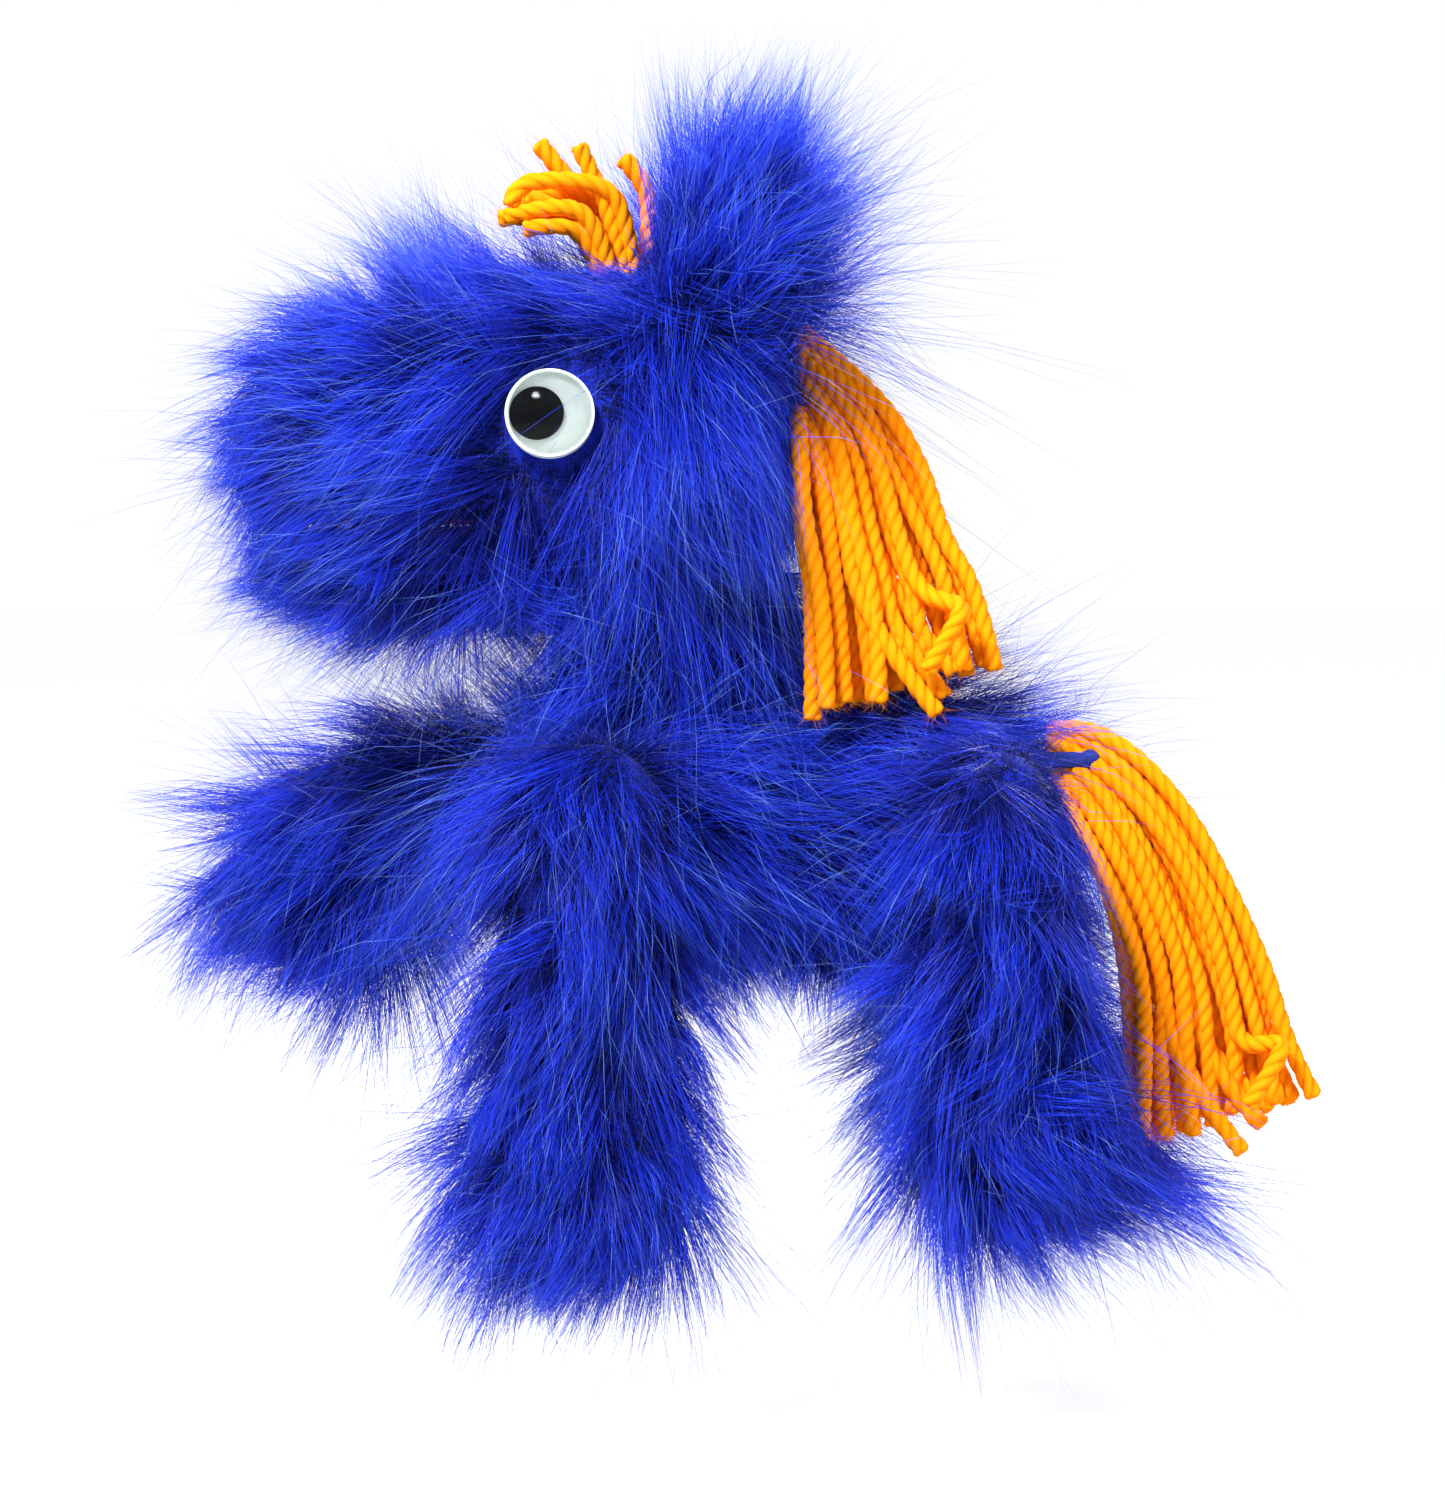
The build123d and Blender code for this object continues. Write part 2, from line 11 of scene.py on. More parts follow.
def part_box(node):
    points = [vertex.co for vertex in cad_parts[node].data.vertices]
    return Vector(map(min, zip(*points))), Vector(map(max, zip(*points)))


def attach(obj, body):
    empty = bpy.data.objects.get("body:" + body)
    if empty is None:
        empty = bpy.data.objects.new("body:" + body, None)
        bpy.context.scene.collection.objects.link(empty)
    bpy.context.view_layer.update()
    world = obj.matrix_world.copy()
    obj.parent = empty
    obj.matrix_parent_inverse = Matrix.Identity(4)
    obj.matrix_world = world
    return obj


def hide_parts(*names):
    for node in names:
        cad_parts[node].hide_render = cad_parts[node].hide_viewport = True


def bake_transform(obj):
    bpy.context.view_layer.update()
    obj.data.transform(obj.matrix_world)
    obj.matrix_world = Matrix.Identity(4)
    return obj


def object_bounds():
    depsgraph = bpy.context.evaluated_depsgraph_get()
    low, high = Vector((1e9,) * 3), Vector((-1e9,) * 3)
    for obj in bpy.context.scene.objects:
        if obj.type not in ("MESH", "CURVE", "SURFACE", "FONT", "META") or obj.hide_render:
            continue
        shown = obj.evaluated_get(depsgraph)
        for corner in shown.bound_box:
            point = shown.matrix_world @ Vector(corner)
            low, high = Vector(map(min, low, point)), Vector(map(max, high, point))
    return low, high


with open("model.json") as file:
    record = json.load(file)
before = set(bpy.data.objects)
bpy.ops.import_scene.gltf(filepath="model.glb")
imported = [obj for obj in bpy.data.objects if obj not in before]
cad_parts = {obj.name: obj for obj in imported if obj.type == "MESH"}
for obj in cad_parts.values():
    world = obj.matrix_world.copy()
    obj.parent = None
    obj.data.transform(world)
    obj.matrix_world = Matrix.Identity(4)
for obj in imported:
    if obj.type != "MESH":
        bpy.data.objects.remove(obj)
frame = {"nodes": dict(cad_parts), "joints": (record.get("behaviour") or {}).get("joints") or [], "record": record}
cad_low, cad_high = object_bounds()

MM = 0.001
rng = np.random.default_rng(20417)

# Camera: the frame's centre and height at the puppet's middle plane.
VIEW_CENTRE = (-11.3 * MM, 0.0, 53.8 * MM)
VIEW_HEIGHT = 413.6 * MM
VIEW_DISTANCE = 1.35
VIEW_ELEVATION = 3.0
SENSOR = 36.0

# Studio: a white sweep, soft light all round, and a key light from the front, left and above.
WORLD_LIGHT = 0.34
FLOOR_GLOW = 0.88

# Fur.
PIECE_STRANDS = 12000
STRAND_RADIUS = 0.125 * MM
RINGS = 3
CORNERS = 3
CLUMP_SIZE = 11
TUFT_SIZE = 74
LOCK_SIZE = 120
UNDERCOAT = 0.17

# Yarn.
YARN_DIAMETER = 5.0 * MM
PLIES = 3
PLY_RADIUS = 1.85 * MM
PLY_ORBIT = 0.68 * MM
TWIST_PITCH = 14.0 * MM
FUZZ_PER_STRAND = 130
YARN_STEP = 0.8 * MM
YARN_SIDES = 10

CLOTH = 2.4 * MM

PROUD_SHARE = 0.03
PROUD_EXTRA = 9.0 * MM
room = PROUD_SHARE * np.array(cad_high - cad_low) + PROUD_EXTRA
low_limit = np.array(cad_low) - room
high_limit = np.array(cad_high) + room

joints = {j["name"]: j for j in frame["joints"]}


def joint_at(name):
    return np.array(joints[name]["pos_m"], float)


def unit(v):
    v = np.asarray(v, float)
    return v / np.maximum(np.linalg.norm(v, axis=-1, keepdims=True), 1e-12)


def centre_of(node):
    low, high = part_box(node)
    return np.array((low + high) / 2)


# ---------------------------------------------------------------- materials
def material(name, colour=(0.5, 0.5, 0.5), roughness=0.6, **sockets):
    """A node material; returns it with its tree and its shader."""
    mat = bpy.data.materials.new(name)
    mat.use_nodes = True
    tree = mat.node_tree
    shader = tree.nodes["Principled BSDF"]
    shader.inputs["Base Color"].default_value = (*colour, 1)
    shader.inputs["Roughness"].default_value = roughness
    for key, value in sockets.items():
        shader.inputs[key.replace("_", " ")].default_value = value
    return mat, tree, shader


def add(tree, kind, **settings):
    node = tree.nodes.new(kind)
    for key, value in settings.items():
        if key in node.inputs:
            node.inputs[key].default_value = value
        else:
            setattr(node, key, value)
    return node


def ramp(tree, source, stops):
    node = tree.nodes.new("ShaderNodeValToRGB")
    elements = node.color_ramp.elements
    while len(elements) < len(stops):
        elements.new(0.5)
    for element, (at, colour) in zip(elements, stops):
        element.position = at
        element.color = (*colour, 1)
    tree.links.new(source, node.inputs["Fac"])
    return node.outputs["Color"]


def mix(tree, a, b, share, how="MULTIPLY"):
    node = tree.nodes.new("ShaderNodeMix")
    node.data_type = "RGBA"
    node.blend_type = how
    if isinstance(share, float):
        node.inputs[0].default_value = share
    else:
        tree.links.new(share, node.inputs[0])
    for value, socket in ((a, node.inputs[6]), (b, node.inputs[7])):
        if isinstance(value, tuple):
            socket.default_value = (*value, 1)
        else:
            tree.links.new(value, socket)
    return node.outputs[2]


def fur_material():
    """Acrylic pile: royal blue along the hair, painted shade darkening it at the root, a painted highlight paling it at
    the tip, and each tuft a little different.
    """
    mat, tree, shader = material("long_pile_fur", roughness=0.38)
    shader.inputs["Specular IOR Level"].default_value = 0.22
    shader.inputs["Sheen Weight"].default_value = 0.05
    shader.inputs["Sheen Tint"].default_value = (0.35, 0.5, 1.0, 1)
    uv = add(tree, "ShaderNodeUVMap", uv_map="OFBake")
    split = add(tree, "ShaderNodeSeparateXYZ")
    tree.links.new(uv.outputs["UV"], split.inputs["Vector"])
    # Along the hair: the dark root is painted shade deep in the coat and the pale tip a painted highlight; the royal
    # blue between is the fur's own colour.
    along = ramp(tree, split.outputs["Y"], [
        (0.0, (0.0005, 0.002, 0.05)),
        (0.25, (0.0015, 0.007, 0.27)),
        (0.6, (0.006, 0.030, 0.76)),
        (0.85, (0.026, 0.085, 0.86)),
        (1.0, (0.16, 0.29, 0.86)),
    ])
    tuft = add(tree, "ShaderNodeTexNoise", noise_dimensions="1D", Scale=900.0, Detail=1.0)
    tree.links.new(split.outputs["X"], tuft.inputs["W"])
    shade = ramp(tree, tuft.outputs["Fac"], [
        (0.3, (0.4, 0.38, 0.5)),
        (0.5, (0.95, 0.95, 0.97)),
        (0.7, (1.5, 1.6, 1.15)),
    ])
    tree.links.new(mix(tree, along, shade, 1.0), shader.inputs["Base Color"])
    return mat


def weave_material(name, dark, light, scale, roughness=0.85, depth=0.25, sheen=0.03):
    """Knitted or woven cloth: crossed threads with a little unevenness."""
    mat, tree, shader = material(name, roughness=roughness)
    shader.inputs["Specular IOR Level"].default_value = 0.15
    shader.inputs["Sheen Weight"].default_value = sheen
    where = add(tree, "ShaderNodeTexCoord")
    waves = []
    for direction in ("X", "Y", "Z"):
        wave = add(tree, "ShaderNodeTexWave", wave_type="BANDS", bands_direction=direction,
                   Scale=scale, Distortion=0.6, Detail=1.0)
        tree.links.new(where.outputs["Object"], wave.inputs["Vector"])
        waves.append(wave.outputs["Fac"])
    total = waves[0]
    for wave in waves[1:]:
        adder = add(tree, "ShaderNodeMath", operation="MAXIMUM")
        tree.links.new(total, adder.inputs[0])
        tree.links.new(wave, adder.inputs[1])
        total = adder.outputs["Value"]
    patch = add(tree, "ShaderNodeTexNoise", Scale=90.0, Detail=4.0)
    tree.links.new(where.outputs["Object"], patch.inputs["Vector"])
    base = ramp(tree, total, [(0.45, dark), (1.0, light)])
    spots = ramp(tree, patch.outputs["Fac"], [(0.3, (0.75, 0.75, 0.75)), (0.7, (1.15, 1.15, 1.15))])
    tree.links.new(mix(tree, base, spots, 1.0), shader.inputs["Base Color"])
    bump = add(tree, "ShaderNodeBump", Strength=depth, Distance=0.0004)
    tree.links.new(total, bump.inputs["Height"])
    tree.links.new(bump.outputs["Normal"], shader.inputs["Normal"])
    return mat


def fibre_material(name, dark, light, scale, roughness=0.9, depth=0.5, sheen=0.4):
    """Felt, stuffing or foam: matted fibres with no weave."""
    mat, tree, shader = material(name, roughness=roughness)
    shader.inputs["Sheen Weight"].default_value = sheen
    where = add(tree, "ShaderNodeTexCoord")
    coarse = add(tree, "ShaderNodeTexNoise", Scale=scale, Detail=8.0, Roughness=0.7, Distortion=1.5)
    fine = add(tree, "ShaderNodeTexNoise", Scale=scale * 7, Detail=4.0, Roughness=0.8, Distortion=3.0)
    for node in (coarse, fine):
        tree.links.new(where.outputs["Object"], node.inputs["Vector"])
    both = add(tree, "ShaderNodeMath", operation="ADD")
    tree.links.new(coarse.outputs["Fac"], both.inputs[0])
    tree.links.new(fine.outputs["Fac"], both.inputs[1])
    tree.links.new(ramp(tree, both.outputs["Value"], [(0.75, dark), (1.0, light)]), shader.inputs["Base Color"])
    bump = add(tree, "ShaderNodeBump", Strength=depth, Distance=0.0004)
    tree.links.new(both.outputs["Value"], bump.inputs["Height"])
    tree.links.new(bump.outputs["Normal"], shader.inputs["Normal"])
    return mat


def yarn_material():
    """Spun acrylic: fibres run along each ply, yellow orange on the crowns and deep orange in the grooves, where
    painted shade darkens it.
    """
    mat, tree, shader = material("orange_yarn", roughness=0.85)
    shader.inputs["Specular IOR Level"].default_value = 0.06
    shader.inputs["Subsurface Weight"].default_value = 0.15
    shader.inputs["Subsurface Radius"].default_value = (0.002, 0.0008, 0.0002)
    uv = add(tree, "ShaderNodeUVMap", uv_map="OFBake")
    split = add(tree, "ShaderNodeSeparateXYZ")
    tree.links.new(uv.outputs["UV"], split.inputs["Vector"])
    # Across each ply: the deep orange towards the side that faces the other plies is painted shade in the grooves; the
    # yellow orange of the crown is the yarn's own colour.
    crown = ramp(tree, split.outputs["X"], [
        (0.0, (0.86, 0.13, 0.0)),
        (0.3, (0.95, 0.20, 0.0)),
        (0.7, (0.98, 0.27, 0.0)),
        (1.0, (1.0, 0.33, 0.003)),
    ])
    stretch = add(tree, "ShaderNodeMapping")
    stretch.inputs["Scale"].default_value = (14.0, 30.0, 1.0)
    tree.links.new(uv.outputs["UV"], stretch.inputs["Vector"])
    fibres = add(tree, "ShaderNodeTexNoise", Scale=3.0, Detail=6.0, Roughness=0.7)
    tree.links.new(stretch.outputs["Vector"], fibres.inputs["Vector"])
    streak = ramp(tree, fibres.outputs["Fac"], [(0.3, (0.97, 0.8, 0.7)), (0.7, (1.0, 1.1, 1.2))])
    tree.links.new(mix(tree, crown, streak, 1.0), shader.inputs["Base Color"])
    bump = add(tree, "ShaderNodeBump", Strength=0.5, Distance=0.0003)
    tree.links.new(fibres.outputs["Fac"], bump.inputs["Height"])
    tree.links.new(bump.outputs["Normal"], shader.inputs["Normal"])
    return mat


def plastic_material(name, colour, roughness, grime=0.12, **sockets):
    """Moulded plastic with a faint unevenness of tone and polish."""
    mat, tree, shader = material(name, roughness=roughness, **sockets)
    where = add(tree, "ShaderNodeTexCoord")
    cloud = add(tree, "ShaderNodeTexNoise", Scale=160.0, Detail=5.0)
    tree.links.new(where.outputs["Object"], cloud.inputs["Vector"])
    lower = tuple(c * (1 - grime) for c in colour)
    tree.links.new(ramp(tree, cloud.outputs["Fac"], [(0.35, lower), (0.65, colour)]), shader.inputs["Base Color"])
    rough = add(tree, "ShaderNodeMapRange")
    rough.inputs["To Min"].default_value = roughness * 0.8
    rough.inputs["To Max"].default_value = roughness * 1.25
    tree.links.new(cloud.outputs["Fac"], rough.inputs["Value"])
    tree.links.new(rough.outputs["Result"], shader.inputs["Roughness"])
    return mat


FUR = fur_material()
# The backing's dark blue is partly its own colour and partly painted shade, made as dark as the shade between the hairs
# where it shows.
BACKING = weave_material("fur_backing_knit", (0.0006, 0.003, 0.08), (0.002, 0.012, 0.30), 260.0)
LINING = weave_material("lining_cloth", (0.006, 0.01, 0.07), (0.02, 0.035, 0.22), 320.0, roughness=0.7)
TAPE = weave_material("hem_tape", (0.006, 0.01, 0.09), (0.02, 0.04, 0.3), 420.0, roughness=0.75)
FELT = fibre_material("mouth_felt", (0.30, 0.008, 0.014), (0.62, 0.03, 0.05), 260.0)
STUFFING = fibre_material("polyester_stuffing", (0.6, 0.6, 0.6), (0.92, 0.92, 0.92), 120.0)
FOAM = fibre_material("foam", (0.55, 0.5, 0.33), (0.82, 0.78, 0.6), 500.0, depth=0.8, sheen=0.0)
YARN = yarn_material()
BOARD = plastic_material("mouth_board", (0.75, 0.75, 0.72), 0.5)
EYE_WHITE = plastic_material("eye_white", (0.72, 0.80, 0.76), 0.3, grime=0.06)
EYE_BLACK = plastic_material("eye_black", (0.004, 0.005, 0.006), 0.5, grime=0.3, Specular_IOR_Level=0.05)
EYE_CLEAR = plastic_material("eye_clear", (0.97, 0.99, 0.99), 0.03, grime=0.02, Transmission_Weight=1.0, IOR=1.14)


# ---------------------------------------------------------------- meshes
def mesh_object(name, points, faces, mat, uv=None):
    """A mesh from an array of points and an array of triangles, all smooth."""
    mesh = bpy.data.meshes.new(name)
    points = np.ascontiguousarray(points, np.float32)
    faces = np.ascontiguousarray(faces, np.int32)
    mesh.vertices.add(len(points))
    mesh.vertices.foreach_set("co", points.ravel())
    mesh.loops.add(faces.size)
    mesh.loops.foreach_set("vertex_index", faces.ravel())
    mesh.polygons.add(len(faces))
    mesh.polygons.foreach_set("loop_start", np.arange(0, faces.size, 3, dtype=np.int32))
    mesh.polygons.foreach_set("use_smooth", np.ones(len(faces), bool))
    if uv is not None:
        layer = mesh.uv_layers.new(name="OFBake")
        layer.data.foreach_set("uv", np.ascontiguousarray(uv[faces.ravel()], np.float32).ravel())
    mesh.update(calc_edges=True)
    mesh.materials.append(mat)
    obj = bpy.data.objects.new(name, mesh)
    bpy.context.scene.collection.objects.link(obj)
    return obj


def apply_modifiers(obj):
    """The object's mesh becomes what its modifiers make of it."""
    graph = bpy.context.evaluated_depsgraph_get()
    made = bpy.data.meshes.new_from_object(obj.evaluated_get(graph))
    obj.modifiers.clear()
    obj.data = made
    return obj


def round_cone(bm, start, end, start_radius, end_radius, sides=32, cap=8):
    """A closed rod with rounded ends of its own radius."""
    start, end = Vector(start), Vector(end)
    axis = (end - start).normalized()
    turn = axis.to_track_quat("Z", "Y")
    rings = []
    for i in range(1, cap + 1):
        a = math.pi / 2 * i / cap
        rings.append((start - axis * start_radius * math.cos(a), start_radius * math.sin(a)))
    for i in range(0, cap):
        a = math.pi / 2 * i / cap
        rings.append((end + axis * end_radius * math.sin(a), end_radius * math.cos(a)))
    loops = []
    for centre, radius in rings:
        loops.append([bm.verts.new(centre + turn @ Vector((
            radius * math.cos(2 * math.pi * k / sides), radius * math.sin(2 * math.pi * k / sides), 0)))
            for k in range(sides)])
    for one, two in zip(loops, loops[1:]):
        for k in range(sides):
            bm.faces.new((one[k], one[(k + 1) % sides], two[(k + 1) % sides], two[k]))
    low = bm.verts.new(start - axis * start_radius)
    high = bm.verts.new(end + axis * end_radius)
    for k in range(sides):
        bm.faces.new((low, loops[0][(k + 1) % sides], loops[0][k]))
        bm.faces.new((high, loops[-1][k], loops[-1][(k + 1) % sides]))


SKINS = {}


def skin(name, rods, mat, voxel=2.2 * MM, smooth=12, planes=(), hole=None, cloth=CLOTH):
    """One soft form made of rounded rods (start, end, start radius, end radius). hole(points) says what to leave out,
    along straight lines where planes (point, normal) cross it; a form with a hole is a shell as thick as the cloth."""
    bm = bmesh.new()
    for rod in rods:
        round_cone(bm, *rod)
    mesh = bpy.data.meshes.new(name)
    bm.to_mesh(mesh)
    bm.free()
    obj = bpy.data.objects.new(name, mesh)
    bpy.context.scene.collection.objects.link(obj)
    remesh = obj.modifiers.new("remesh", "REMESH")
    remesh.mode = "VOXEL"
    remesh.voxel_size = voxel
    soften = obj.modifiers.new("soften", "SMOOTH")
    soften.factor = 0.5
    soften.iterations = smooth
    apply_modifiers(obj)
    if hole:
        bm = bmesh.new()
        bm.from_mesh(obj.data)
        for place, normal in planes:
            bmesh.ops.bisect_plane(bm, geom=bm.verts[:] + bm.edges[:] + bm.faces[:], dist=1e-6,
                                   plane_co=place, plane_no=normal)
        centres = np.array([f.calc_center_median() for f in bm.faces])
        gone = hole(centres)
        bmesh.ops.delete(bm, geom=[f for f, out in zip(bm.faces, gone) if out], context="FACES")
        bm.to_mesh(obj.data)
        bm.free()
    obj.data.materials.clear()
    obj.data.materials.append(mat)
    SKINS[name] = surface_of(obj)
    if hole:
        shell = obj.modifiers.new("cloth", "SOLIDIFY")
        shell.thickness = cloth
        shell.offset = -1
        apply_modifiers(obj)
    obj.data.polygons.foreach_set("use_smooth", np.ones(len(obj.data.polygons), bool))
    return obj


def surface_of(obj):
    """(points, triangles, vertex normals) of a mesh."""
    mesh = obj.data
    mesh.calc_loop_triangles()
    points = np.zeros(len(mesh.vertices) * 3, np.float32)
    mesh.vertices.foreach_get("co", points)
    triangles = np.zeros(len(mesh.loop_triangles) * 3, np.int32)
    mesh.loop_triangles.foreach_get("vertices", triangles)
    points = points.reshape(-1, 3).astype(float)
    triangles = triangles.reshape(-1, 3)
    across = np.cross(points[triangles[:, 1]] - points[triangles[:, 0]],
                      points[triangles[:, 2]] - points[triangles[:, 0]])
    normals = np.zeros_like(points)
    for k in range(3):
        np.add.at(normals, triangles[:, k], across)
    return points, triangles, unit(normals), np.linalg.norm(across, axis=1) / 2


def scatter(obj, count, keep):
    """Random points on the mesh where keep(points, normals) holds, with their normals."""
    points, triangles, normals, areas = SKINS[obj.name]
    found, facing = [], []
    have = 0
    while have < count:
        pick = rng.choice(len(triangles), size=count, p=areas / areas.sum())
        a, b = rng.random(count), rng.random(count)
        flip = a + b > 1
        a[flip], b[flip] = 1 - a[flip], 1 - b[flip]
        share = np.stack([1 - a - b, a, b], 1)[:, :, None]
        p = (points[triangles[pick]] * share).sum(1)
        n = unit((normals[triangles[pick]] * share).sum(1))
        good = keep(p, n)
        found.append(p[good])
        facing.append(n[good])
        have += int(good.sum())
    return np.concatenate(found)[:count], np.concatenate(facing)[:count]


WAVES = unit(rng.normal(size=(9, 3))) * (2 * math.pi / (rng.uniform(35, 95, 9)[:, None] * MM))
WAVE_PUSH = unit(rng.normal(size=(9, 3)))
WAVE_PHASE = rng.uniform(0, 2 * math.pi, 9)


def swirl(p):
    """A smooth wandering direction, the same for neighbours."""
    return np.sin(p @ WAVES.T + WAVE_PHASE) @ WAVE_PUSH * 0.17


def strand_mesh(paths, radii):
    """Points and triangles of closed tapering prisms along paths (strands, rings + tip, 3)."""
    count = len(paths)
    along = unit(paths[:, -1] - paths[:, 0])
    side = unit(np.cross(along, unit(rng.normal(size=(count, 3)))))
    other = np.cross(along, side)
    angle = 2 * math.pi * np.arange(CORNERS) / CORNERS
    ring = side[:, None, :] * np.cos(angle)[None, :, None] + other[:, None, :] * np.sin(angle)[None, :, None]
    points = paths[:, :RINGS, None, :] + ring[:, None, :, :] * radii[:, :, None, None]
    points = np.concatenate([points.reshape(count, -1, 3), paths[:, RINGS:RINGS + 1]], 1)
    faces = [(0, 2, 1)]
    for r in range(RINGS - 1):
        for c in range(CORNERS):
            a, b = r * CORNERS + c, r * CORNERS + (c + 1) % CORNERS
            faces += [(a, b, b + CORNERS), (a, b + CORNERS, a + CORNERS)]
    tip, last = RINGS * CORNERS, (RINGS - 1) * CORNERS
    faces += [(last + c, last + (c + 1) % CORNERS, tip) for c in range(CORNERS)]
    per_strand = points.shape[1]
    faces = np.array(faces)[None] + (np.arange(count) * per_strand)[:, None, None]
    return points.reshape(-1, 3), faces.reshape(-1, 3)


def everywhere(p, n):
    return np.ones(len(p), bool)


def nearest(points, centres):
    """For each point, which of the centres is nearest."""
    tree = kdtree.KDTree(len(centres))
    for i, centre in enumerate(centres):
        tree.insert(centre, i)
    tree.balance()
    return np.array([tree.find(p)[1] for p in points])


def bounded(roots, path):
    """The paths, shortened where they would leave the room that the puppet may fill."""
    over = np.maximum((path - high_limit) / np.maximum(path - roots[:, None], 1e-9),
                      (low_limit - path) / np.maximum(roots[:, None] - path, 1e-9))
    shrink = 1 - np.clip(over.max((1, 2)), 0, 0.9)
    return roots[:, None] + (path - roots[:, None]) * shrink[:, None, None]


def curve_paths(roots, start, bend, long):
    steps = np.linspace(0, 1, RINGS + 1)[None, :, None]
    return roots[:, None] + long[:, None, None] * (start[:, None] * steps + 0.5 * bend[:, None] * steps ** 2)


def hub_at(hub, reach):
    """Where each hair's clump is at each of the hair's own distances along it; past the clump's end, straight on."""
    at = np.clip(reach * RINGS, 0, None)
    low = np.clip(np.floor(at).astype(int), 0, RINGS - 1)
    share = at - low
    start = np.take_along_axis(hub, np.broadcast_to(low, hub.shape), 1)
    end = np.take_along_axis(hub, np.broadcast_to(low + 1, hub.shape), 1)
    return start + (end - start) * share


def fur(name, obj, length, comb, lift, keep=everywhere, count=PIECE_STRANDS, avoid=None, wild=1.0, droop=0.25, width=1.0,
        stray=0.11, tuft_size=TUFT_SIZE):
    """Hair on a skin: a short undercoat, strands that lean together in clumps and clumps in tufts, and loose hairs.
    comb(p, n) is the way it lies, lift how far it stands up, and length its length."""
    roots, normals = scatter(obj, count, keep)
    tufts = max(3, count // tuft_size)
    clumps = max(6, count // CLUMP_SIZE)
    tuft_of = nearest(roots[:clumps], roots[:tufts])
    clump_of = nearest(roots, roots[:clumps])

    def lying(p, n):
        way = unit(comb(p, n)) + swirl(p)
        way = way - n * (way * n).sum(1)[:, None]
        return unit(way)

    tuft_turn = wild * rng.normal(scale=0.42, size=(tufts, 3))
    tuft_rise = rng.normal(scale=0.17, size=tufts)
    tuft_long = rng.uniform(0.7, 1.25, tufts)
    at, facing = roots[:clumps], normals[:clumps]
    way = unit(lying(at, facing) + tuft_turn[tuft_of] + rng.normal(scale=0.15, size=(clumps, 3)))
    rise = lift(at, facing) + tuft_rise[tuft_of] + rng.normal(scale=0.06, size=clumps)
    rise = np.clip(rise, 0.05, 0.97)[:, None]
    size = length(at, facing) * tuft_long[tuft_of] * rng.uniform(0.8, 1.1, clumps)
    clump_start = unit(facing * rise + way * (1 - rise))
    clump_bend = way * 0.4 + np.array([0, 0, -droop]) - facing * 0.15
    clump_path = curve_paths(at, clump_start, clump_bend, size)
    tuft_path = clump_path[:tufts]
    steps = np.linspace(0, 1, RINGS + 1)[None, :, None]
    drawn = rng.uniform(0.6, 1.0, clumps)[:, None, None]
    clump_path = clump_path + (tuft_path[tuft_of] - clump_path) * drawn * steps ** 1.4

    start = unit(clump_start[clump_of] + rng.normal(scale=0.13, size=(count, 3)))
    bend = clump_bend[clump_of] + rng.normal(scale=0.16, size=(count, 3))
    long = size[clump_of] * (0.36 + 0.86 * rng.random(count) ** 1.5)
    pull = rng.uniform(0.45, 0.98, count)
    loose = rng.random(count) < stray
    start[loose] = unit(start[loose] + normals[loose] * 0.3 + rng.normal(scale=0.3, size=(loose.sum(), 3)))
    long[loose] = size[clump_of][loose] * rng.uniform(1.0, 1.6, loose.sum())
    pull[loose] = 0.0
    under = rng.random(count) < UNDERCOAT
    start[under] = unit(normals[under] + rng.normal(scale=0.45, size=(under.sum(), 3)))
    long[under] = rng.uniform(6, 12, under.sum()) * MM
    pull[under] = 0.0
    path = curve_paths(roots, start, bend, long)
    hub = clump_path[clump_of]
    reach = (long / size[clump_of])[:, None, None] * steps
    path = path + (hub_at(hub, reach) - path) * pull[:, None, None] * np.clip(reach, 0, 1) ** 1.1
    path = bounded(roots, path)
    fine = STRAND_RADIUS * width * rng.uniform(0.7, 1.15, count)
    fine[loose] *= 0.65
    radii = fine[:, None] * np.array([1.0, 0.9, 0.6])[None]
    colour = 0.7 * rng.random(clumps)[clump_of] + 0.3 * rng.random(tufts)[tuft_of][clump_of]
    colour = colour + rng.normal(scale=0.02, size=count)
    # How far along the colour ramp each hair reaches: short hairs and the undercoat sit deep in the coat and get
    # painted shade, darker the shorter they are.
    shade = np.clip(long / size[clump_of], 0.3, 1.0) * rng.uniform(0.8, 1.0, count)
    # Loose hairs reach the pale end of the ramp along their outer part: a painted highlight.
    shade[loose] = rng.uniform(0.9, 1.7, loose.sum())
    shade[under] = rng.uniform(0.3, 0.6, under.sum())
    if avoid is not None:
        good = avoid(path)
        path, radii, colour, shade = path[good], radii[good], colour[good], shade[good]
    points, faces = strand_mesh(path, radii)
    u = np.clip(colour, 0, 0.985)[:, None] + np.concatenate(
        [np.tile(np.arange(CORNERS), RINGS), [1]])[None] * 0.004
    v = np.concatenate([np.repeat(np.linspace(0, 1, RINGS + 1)[:RINGS], CORNERS), [1.0]])
    # v carries each hair's painted shade or painted highlight into the colour ramp.
    v = np.clip(v[None] * shade[:, None], 0, 1)
    uv = np.stack([u, v], 2).reshape(-1, 2)
    made = mesh_object(name, points, faces, FUR, uv)
    return made


def steady(value):
    return lambda p, n: np.full(len(p), float(value))


def fade(x, low, high):
    t = np.clip((x - low) / (high - low), 0, 1)
    return t * t * (3 - 2 * t)


# ---------------------------------------------------------------- camera, floor, lights
scene = bpy.context.scene
scene.view_settings.view_transform = "Standard"

